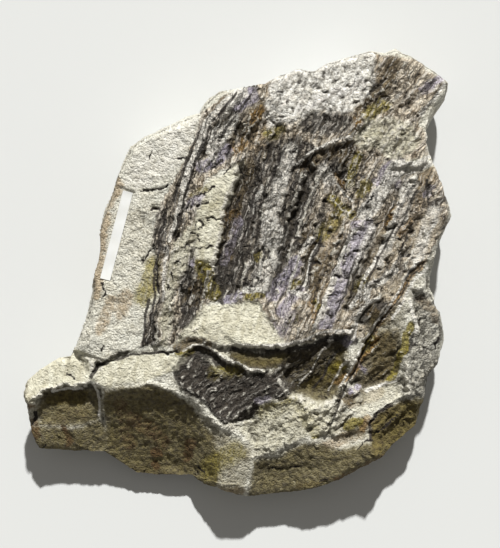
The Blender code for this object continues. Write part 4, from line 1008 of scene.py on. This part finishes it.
def store_values(mesh, u, v, edge):
    """Stores at each point how strongly each stain, painted shade and painted highlight covers it, and its
    place in the grain.
    """
    clean, place = pushed(u, v), pushed(*ragged(u, v))
    across, along = grain_of(*place)
    bark, scars = bark_share(*place), leaf_scars(growth_line(*place), place[1])
    on_face, off_rim = smooth(edge / 3), smooth((edge - 6) / 8)
    heights = sheet_heights()
    near = stands_out(heights, u, v, NEAR_STEPS) / NEAR_HEIGHT
    far = stands_out(heights, u, v, FAR_STEPS) / FAR_HEIGHT
    values = {}
    for name, rings, soft, lines in COVERS:
        values[name] = np.maximum(patches(*place, rings, soft), strokes(*place, lines))
    tan_streaks = strokes(*place, TAN_STREAKS) * (0.35 + 0.65 * on_face)
    values["tan"] = np.maximum(tan_streaks, patches(*place, TAN_PATCHES, 6))
    # Pale lines with painted highlights, and dark lines with painted shadow beside the pale ribs
    values["crest"], values["dark_line_and_painted_shadow"] = strokes(*clean, PALE_AND_HIGHLIGHT_STREAKS), strokes(*clean, DARK_AND_SHADOW_LINES)
    in_pocket, smoothed = areas(*place, (POCKET,), 8), areas(*place, SMOOTH_BARK, 6)
    values["bark"] = bark * (1 - 0.5 * in_pocket) * (1 - 0.55 * smoothed)
    drawn_scars = bark * (0.4 + 0.6 * areas(*place, RIBBED, 10)) * scars
    values["scar"] = np.maximum(drawn_scars, 0.7 * areas(*place, (POCKET,), 12))
    # Painted shade: darker where the face lies below the mean height round it
    low = smooth(-near) + 0.6 * smooth(-far)
    values["hollow"] = on_face * low * (1 - 0.6 * values["olive_wash_and_painted_shade"])
    values["worn"] = off_rim * smooth(near) * (1 - 0.8 * values["olive_wash_and_painted_shade"])
    for name, value in values.items():
        mesh.attributes.new(name, "FLOAT", "POINT").data.foreach_set("value", value.astype(np.float32))
    grain = np.stack([across * STEP, along * STEP, np.zeros(edge.shape)], axis=1).astype(np.float32)
    mesh.attributes.new("grain", "FLOAT_VECTOR", "POINT").data.foreach_set("vector", grain.ravel())


# ---- The solids ----


def sheet_place(right, down):
    """A place on the sheet as metres from the middle of the plate."""
    return (right - SHEET_MIDDLE[0]) * STEP, (SHEET_MIDDLE[1] - down) * STEP


def evaluated_mesh(obj):
    """The object's mesh with its modifiers or curve made real; the object itself is removed."""
    graph = bpy.context.evaluated_depsgraph_get()
    mesh = bpy.data.meshes.new_from_object(obj.evaluated_get(graph))
    bpy.data.objects.remove(obj)
    return mesh


def new_object(name, data):
    obj = bpy.data.objects.new(name, data)
    bpy.context.scene.collection.objects.link(obj)
    return obj


def outline_block():
    """The plate's outline as a flat block cut into little squares all over."""
    curve = bpy.data.curves.new("outline", "CURVE")
    curve.dimensions = "2D"
    curve.fill_mode = "BOTH"
    curve.extrude = BLOCK_THICKNESS / 2
    spline = curve.splines.new("POLY")
    spline.points.add(len(OUTLINE) - 1)
    for point, place in zip(spline.points, OUTLINE):
        point.co = (*sheet_place(*place), 0.0, 1.0)
    spline.use_cyclic_u = True
    mesh = evaluated_mesh(new_object("outline", curve))
    weld = bmesh.new()
    weld.from_mesh(mesh)
    bmesh.ops.remove_doubles(weld, verts=weld.verts, dist=1e-6)
    bmesh.ops.recalc_face_normals(weld, faces=weld.faces)
    weld.to_mesh(mesh)
    weld.free()
    block = new_object("block", mesh)
    squares = block.modifiers.new("little squares", "REMESH")
    squares.mode = "VOXEL"
    squares.voxel_size = SQUARE
    return evaluated_mesh(block)


def chipped(points):
    """Takes flat chips off the underside of the edge all the way round, each turned and tilted by chance."""
    ring = np.array([sheet_place(*place) for place in OUTLINE])
    sides = np.roll(ring, -1, axis=0) - ring
    run = np.append(0.0, np.cumsum(np.hypot(*sides.T)))
    chance = np.random.default_rng(201)
    for height, facing_down, depth, pitch in EDGE_CHIPS:
        for place in np.arange(0, run[-1], pitch) + chance.uniform(-CHIP_SHIFT, CHIP_SHIFT) * pitch:
            side = (np.searchsorted(run, place % run[-1], side="right") - 1) % len(ring)
            share = (place % run[-1] - run[side]) / (run[side + 1] - run[side])
            middle = Vector((*(ring[side] + share * sides[side]), height * MM))
            turn = Matrix.Rotation(np.radians(chance.uniform(-CHIP_TURN, CHIP_TURN)), 3, "Z")
            outward = turn @ Vector((-sides[side][1], sides[side][0], 0)).normalized()
            tilt = np.radians(facing_down + chance.uniform(*CHIP_TILT))
            normal = np.array(outward * np.cos(tilt) - Vector((0, 0, np.sin(tilt))))
            away = points - np.array(middle)
            beyond = (away @ normal + chance.uniform(*CHIP_BITE) * depth).clip(0.0, 1.5 * depth)
            near = smooth(2.0 - 1.4 * np.linalg.norm(away, axis=1) / pitch)
            points = points - np.outer(near * beyond, normal)
    points[:, 2] = points[:, 2].clip(0.0)
    return points


def drawn_place(x, y):
    """Where points of the plate lie on the sheet, where their face was drawn, and how far in they are."""
    rim_u, rim_v = SHEET_MIDDLE[0] + x / STEP, SHEET_MIDDLE[1] - y / STEP
    edge = np.maximum(area_field(rim_u, rim_v, OUTLINE), 0.0)
    larger = 1 + FACE_DRAWN_LARGER * smooth(edge / 20)
    eye_u, eye_v = DRAWN_FROM_OVER
    return rim_u, rim_v, eye_u + (rim_u - eye_u) * larger, eye_v + (rim_v - eye_v) * larger, edge


def stone_surface(points):
    """Moves each point of the flat block to where the stone's surface lies."""
    x, y, z = points.T
    level = smooth(0.5 + z / (BLOCK_THICKNESS - SQUARE))
    rim_u, rim_v, u, v, edge = drawn_place(x, y)
    height = back_height(rim_u, rim_v, edge)
    top = level > 0
    u, v = u[top], v[top]
    face = label_bed(round_over(fine_face(u, v), u, v, edge[top]), u, v)
    height[top] += (face - height[top]) * level[top]
    pull = side_pull(rim_u, rim_v, height, edge, level) * MM
    shrink = 1 - pull / np.hypot(x, y).clip(0.02)
    return chipped(np.stack([x * shrink, y * shrink, height * MM], axis=1))


def points_of(mesh):
    points = np.empty(len(mesh.vertices) * 3)
    mesh.vertices.foreach_get("co", points)
    return points.reshape(-1, 3)


def make_plate(material):
    """The plate over the CAD's own, with its stains, painted shade and painted highlights as values on its
    points.
    """
    mesh = outline_block()
    flat = points_of(mesh)
    mesh.vertices.foreach_set("co", stone_surface(flat).ravel())
    fine = new_object("fine plate", mesh)
    back_first = fine.vertex_groups.new(name="thin the back first")
    lower = np.flatnonzero(flat[:, 2] < BLOCK_THICKNESS / 2 - 3 * SQUARE)
    back_first.add(lower.tolist(), 1.0, "REPLACE")
    thin = fine.modifiers.new("fewer triangles", "DECIMATE")
    thin.ratio = PLATE_TRIANGLES / (2 * len(mesh.polygons))
    thin.vertex_group = back_first.name
    mesh = evaluated_mesh(fine)
    mesh.name = "plate_stone"
    points = points_of(mesh)
    points[points[:, 2] < BACK_TRUE_WITHIN, 2] = 0.0
    middle = (points.min(axis=0) + points.max(axis=0))[:2] / 2
    points[:, :2] -= middle
    mesh.vertices.foreach_set("co", points.ravel())
    mesh.shade_smooth()
    mesh.set_sharp_from_angle(angle=np.radians(SHARP_ANGLE))
    mesh.materials.clear()
    mesh.materials.append(material)
    _, _, u, v, edge = drawn_place(*(points[:, :2] + middle).T)
    store_values(mesh, u, v, edge)
    plate = new_object("plate_stone", mesh)
    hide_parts("plate")
    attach(plate, "root")
    return plate, middle


# ---- Materials ----


def linear(colour):
    """A colour given out of 255, as the shaders want it."""
    share = np.array(colour) / 255
    return (*np.where(share <= 0.04045, share / 12.92, ((share + 0.055) / 1.055) ** 2.4), 1.0)


def feed(tree, socket, value):
    """Gives a socket a plain value, or links another node's output to it."""
    if isinstance(value, bpy.types.NodeSocket):
        tree.links.new(value, socket)
    else:
        socket.default_value = value


def put(tree, kind, inputs=(), **settings):
    """Adds a node, sets it up, and feeds its inputs with plain values or with other nodes' outputs."""
    node = tree.nodes.new("ShaderNode" + kind)
    for name, value in settings.items():
        setattr(node, name, value)
    for name, value in dict(inputs).items():
        feed(tree, node.inputs[name], value)
    return node


def maths(tree, operation, *values, clamp=False):
    return put(tree, "Math", enumerate(values), operation=operation, use_clamp=clamp).outputs[0]


def product(tree, first, *others):
    """Values multiplied together from left to right."""
    for value in others:
        first = maths(tree, "MULTIPLY", first, value)
    return first


def lacking(tree, value, share):
    """1 where a value is nought, less by its share where it isn't."""
    return maths(tree, "MULTIPLY_ADD", value, -share, 1.0, clamp=True)


def eased(tree, value, start, full):
    """Eases from 0 to 1 while the value goes from where it starts to where it is full."""
    limits = {"Value": value, "From Min": start, "From Max": full}
    return put(tree, "MapRange", limits, interpolation_type="SMOOTHSTEP").outputs["Result"]


def mixed(tree, share, first, second):
    """The colour between two colours."""
    share_socket, first_socket, second_socket, result = 0, 6, 7, 2  # those that serve colours
    feeds = {share_socket: share, first_socket: first, second_socket: second}
    return put(tree, "Mix", feeds, data_type="RGBA").outputs[result]


def attribute(tree, name, output="Fac"):
    return put(tree, "Attribute", attribute_name=name).outputs[output]


def noise_value(tree, vector, scale, detail, roughness=0.55):
    inputs = {"Vector": vector, "Scale": scale, "Detail": detail, "Roughness": roughness}
    return put(tree, "TexNoise", inputs).outputs["Fac"]


def drawn_out(tree, vector, share):
    """Places whose second direction is scaled down, so that what is laid on them runs long that way."""
    return put(tree, "Mapping", {"Vector": vector, "Scale": (1.0, share, 1.0)}).outputs["Vector"]


def new_group(name, colours, values):
    """A shader node group that takes the colours and values named and gives one colour, and its two ends."""
    tree = bpy.data.node_groups.new(name, "ShaderNodeTree")
    for socket in (*colours, *values):
        kind = "NodeSocketColor" if socket in colours else "NodeSocketFloat"
        tree.interface.new_socket(socket, in_out="INPUT", socket_type=kind)
    tree.interface.new_socket("Colour", in_out="OUTPUT", socket_type="NodeSocketColor")
    return tree, tree.nodes.new("NodeGroupInput").outputs, tree.nodes.new("NodeGroupOutput").inputs


def stain_group():
    """Lays a stain, a painted shade or a painted highlight over a colour where its amount and the grain
    together pass a threshold.
    """
    numbers = ("Amount", "Grain", "Spread", "Softness", "Strength")
    tree, given, gives = new_group("stain through the grain", ("Colour", "Stain"), numbers)
    uneven = maths(tree, "SUBTRACT", given["Grain"], 0.5)
    uneven = maths(tree, "MULTIPLY_ADD", uneven, given["Spread"], 1.0)
    start, full = (maths(tree, side, 0.5, given["Softness"]) for side in ("SUBTRACT", "ADD"))
    reach = eased(tree, product(tree, uneven, given["Amount"]), start, full)
    share = product(tree, reach, given["Strength"])
    feed(tree, gives["Colour"], mixed(tree, share, given["Colour"], given["Stain"]))
    return tree


def two_tone_group():
    """Breaks one colour into two by noise, with the contrast turned up."""
    tree, given, gives = new_group("two tones", ("First", "Second"), ("Noise", "Contrast"))
    uneven = maths(tree, "SUBTRACT", given["Noise"], 0.5)
    share = maths(tree, "MULTIPLY_ADD", uneven, given["Contrast"], 0.5, clamp=True)
    feed(tree, gives["Colour"], mixed(tree, share, given["First"], given["Second"]))
    return tree


def chip_net(tree, vector):
    """Thin lines between the chips that the stone has broken into, 1 on a line and 0 off it."""
    inputs = {"Vector": vector, "Scale": CHIP_NET_BENDS * CHIP_NET_SCALE, "Detail": 2.0}
    bent = put(tree, "TexNoise", inputs).outputs["Color"]
    bend = put(tree, "VectorMath", {0: bent, 1: (0.5, 0.5, 0.5)}, operation="SUBTRACT").outputs[0]
    size = CHIP_NET_BEND / CHIP_NET_SCALE
    bend = put(tree, "VectorMath", {0: bend, "Scale": size}, operation="SCALE").outputs[0]
    place = put(tree, "VectorMath", {0: vector, 1: bend}, operation="ADD").outputs[0]
    chips = put(tree, "TexVoronoi", {"Vector": place, "Scale": CHIP_NET_SCALE}, feature="DISTANCE_TO_EDGE")
    return eased(tree, chips.outputs["Distance"], CHIP_NET_LINE, 0.0)


def new_material(name, roughness):
    """A material, its node tree and its shader's inputs."""
    material = bpy.data.materials.new(name)
    material.use_nodes = True
    surface = material.node_tree.nodes["Principled BSDF"].inputs
    surface["Roughness"].default_value = roughness
    return material, material.node_tree, surface


def stone_material():
    """Siltstone with what stains it and its painted shade and highlights, each broken up by the grain that
    it follows.
    """
    material, tree, surface = new_material("stained siltstone", 0.9)
    place = put(tree, "TexCoord").outputs["Object"]
    grain = attribute(tree, "grain", "Vector")
    overlay, two_tones = stain_group(), two_tone_group()
    noises = {}
    for name, along, scale, detail, roughness in NOISES:
        vector = drawn_out(tree, grain, along) if along else place
        noises[name] = noise_value(tree, vector, scale, detail, roughness)

    def tones(pair, noise, contrast):
        first, second = map(linear, pair)
        inputs = {"First": first, "Second": second, "Noise": noises[noise], "Contrast": contrast}
        return put(tree, "Group", inputs, node_tree=two_tones).outputs["Colour"]

    colour = tones(BARE_STONE, "lumps", 3.0)
    colour = mixed(tree, SPECKLE_SHARE, colour, tones(STONE_SPECKLE, "flecks", 6.0))
    for value, pair, follows, breaks, contrast, spread, softness, strength in STAINS_AND_PAINTED_LIGHT:
        inputs = {"Colour": colour, "Stain": tones(pair, breaks, contrast), "Amount": attribute(tree, value),
                  "Grain": noises[follows], "Spread": spread, "Softness": softness, "Strength": strength}
        colour = put(tree, "Group", inputs, node_tree=overlay).outputs["Colour"]

    bark = attribute(tree, "bark")
    rough = maths(tree, "SUBTRACT", bark, attribute(tree, "weathered"), clamp=True)
    clear_of_film_and_shade = lacking(tree, attribute(tree, "film_and_painted_shade"), FILM_HIDES_SPECKS)
    off_pale = lacking(tree, attribute(tree, "pale"), PALE_STONE_HIDES_SPECKS)
    pale_threads = eased(tree, noises["threads"], *PALE_THREAD)
    scraped = product(tree, pale_threads, rough, PALE_THREAD_SHARE)
    colour = mixed(tree, scraped, colour, linear(PALE_THREAD_COLOUR))
    # Specks on the bark: grit, painted glints and painted specks of shadow
    for start, full, tone, on_bark in GRIT_GLINT_AND_SHADE_SPECKS:
        speck = product(tree, eased(tree, noises["splinters"], start, full), product(tree, bark, on_bark))
        colour = mixed(tree, product(tree, speck, clear_of_film_and_shade, off_pale), colour, linear(tone))
    net = chip_net(tree, drawn_out(tree, grain, CHIP_NET_STRETCH))
    lines = maths(tree, "MAXIMUM", net, eased(tree, noises["threads"], *DARK_THREAD))
    lines = product(tree, lines, rough, off_pale)
    darkened = product(tree, lines, noises["mottle"], LINE_SHARE)
    colour = mixed(tree, darkened, colour, linear(LINE_COLOUR))
    feed(tree, surface["Base Color"], colour)

    noises["lines"] = maths(tree, "SUBTRACT", 1.0, lines)
    facing = {}
    for name, only_bark, height in BUMPS:
        value = product(tree, noises[name], bark) if only_bark else noises[name]
        bump = put(tree, "Bump", {"Height": value, "Strength": 1.0, "Distance": height, **facing})
        facing = {"Normal": bump.outputs["Normal"]}
    feed(tree, surface["Normal"], facing["Normal"])
    return material


def paper_material():
    """Bare white paper, faintly fibrous and a little yellowed in patches."""
    material, tree, surface = new_material("bare label paper", 0.8)
    place = put(tree, "TexCoord").outputs["Object"]
    clouds = noise_value(tree, place, 140, 3)
    fibres = noise_value(tree, drawn_out(tree, place, 0.3), 1800, 2)
    feed(tree, surface["Base Color"], mixed(tree, clouds, linear(PAPER), linear(PAPER_YELLOWED)))
    bump = put(tree, "Bump", {"Height": fibres, "Strength": 0.5, "Distance": PAPER_NAP})
    feed(tree, surface["Normal"], bump.outputs["Normal"])
    return material


def floor_material():
    material, _, surface = new_material("pale studio floor", 0.95)
    surface["Base Color"].default_value = linear(FLOOR_COLOUR)
    return material


# ---- The paper strip, the floor, the light and the camera ----


def curled_strip():
    """A strip of paper about its own middle, lifting at its ends and along its edges."""
    grid = bmesh.new()
    bmesh.ops.create_grid(grid, x_segments=8, y_segments=60, size=0.5)
    for vertex in grid.verts:
        across, along = vertex.co.x, vertex.co.y
        at_ends, at_edges = (2 * abs(along)) ** 10, (2 * abs(across)) ** 4
        lift = END_LIFT * at_ends + EDGE_LIFT * at_edges + RIPPLE * np.sin(RIPPLES * along)
        vertex.co = (across * LABEL_WIDTH, along * LABEL_LENGTH, (lift + RIPPLE) * MM)
    mesh = bpy.data.meshes.new("paper_strip")
    grid.to_mesh(mesh)
    grid.free()
    strip = new_object("paper_strip", mesh)
    thick = strip.modifiers.new("thickness of the paper", "SOLIDIFY")
    thick.thickness, thick.offset = LABEL_THICKNESS, 1.0
    mesh = evaluated_mesh(strip)
    mesh.name = "paper_strip"
    mesh.shade_smooth()
    mesh.set_sharp_from_angle(angle=np.radians(SHARP_ANGLE))
    return mesh


def make_label(plate, middle, material):
    """The paper strip laid on its bed, resting where the stone stands highest."""
    mesh = curled_strip()
    eye = np.array(DRAWN_FROM_OVER)
    at_rim = eye + (LABEL_MIDDLE - eye) / (1 + FACE_DRAWN_LARGER)
    x, y = np.array(sheet_place(*at_rim)) - middle
    turn = Matrix.Rotation(-np.radians(LABEL_LEAN), 4, "Z")
    stone = BVHTree.FromObject(plate, bpy.context.evaluated_depsgraph_get())
    highest = 0.0
    for across in np.linspace(-0.5, 0.5, PLACES_ACROSS):
        for along in np.linspace(-0.5, 0.5, PLACES_ALONG):
            spot = turn @ Vector((across * LABEL_WIDTH, along * LABEL_LENGTH, 0))
            hit = stone.ray_cast(Vector((x, y, 2 * FACE * MM)) + spot, Vector((0, 0, -1)))[0]
            highest = max(highest, hit.z)
    mesh.transform(Matrix.Translation((x, y, highest + GAP * MM)) @ turn)
    mesh.materials.append(material)
    label = new_object("paper_strip", mesh)
    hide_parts("paper_label")
    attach(label, "root")


def make_floor(material):
    mesh = bpy.data.meshes.new("floor")
    corners = [(x * FLOOR_REACH, y * FLOOR_REACH, 0.0) for x, y in ((-1, -1), (1, -1), (1, 1), (-1, 1))]
    mesh.from_pydata(corners, [], [(0, 1, 2, 3)])
    mesh.materials.append(material)
    new_object("floor", mesh)


def make_light():
    """One soft high light from beyond the plate's top edge, and a weak even fill."""
    lamp = bpy.data.lights.new("key", "SUN")
    lamp.energy, lamp.angle = KEY_STRENGTH, np.radians(KEY_ANGLE)
    lamp.color = KEY_COLOUR
    turn, rise = np.radians(KEY_RIGHT_OF_TOP), np.radians(KEY_RISE)
    ray = Vector((-np.sin(turn) * np.cos(rise), -np.cos(turn) * np.cos(rise), -np.sin(rise)))
    new_object("key", lamp).rotation_euler = ray.to_track_quat("-Z", "Y").to_euler()
    world = bpy.data.worlds.new("fill")
    bpy.context.scene.world = world
    world.use_nodes = True
    background = world.node_tree.nodes["Background"].inputs
    background["Color"].default_value = (*FILL_COLOUR, 1.0)
    background["Strength"].default_value = FILL_STRENGTH


def make_camera(middle):
    """Straight above the place that the sheet was drawn from, its top towards +Y."""
    lens = bpy.data.cameras.new("camera")
    camera = new_object("camera", lens)
    x, y = np.array(sheet_place(*DRAWN_FROM_OVER)) - middle
    camera.location = (x, y, FACE * MM + EYE_OVER_FACE)
    to_rim = EYE_OVER_FACE + (FACE - RIM) * MM
    lens.lens = lens.sensor_width * to_rim / (SHEET_HEIGHT * STEP)
    bpy.context.scene.camera = camera


def main():
    plate, middle = make_plate(stone_material())
    make_label(plate, middle, paper_material())
    make_floor(floor_material())
    make_light()
    make_camera(middle)
    bpy.context.scene.view_settings.view_transform = "Standard"
    bpy.context.view_layer.update()


main()
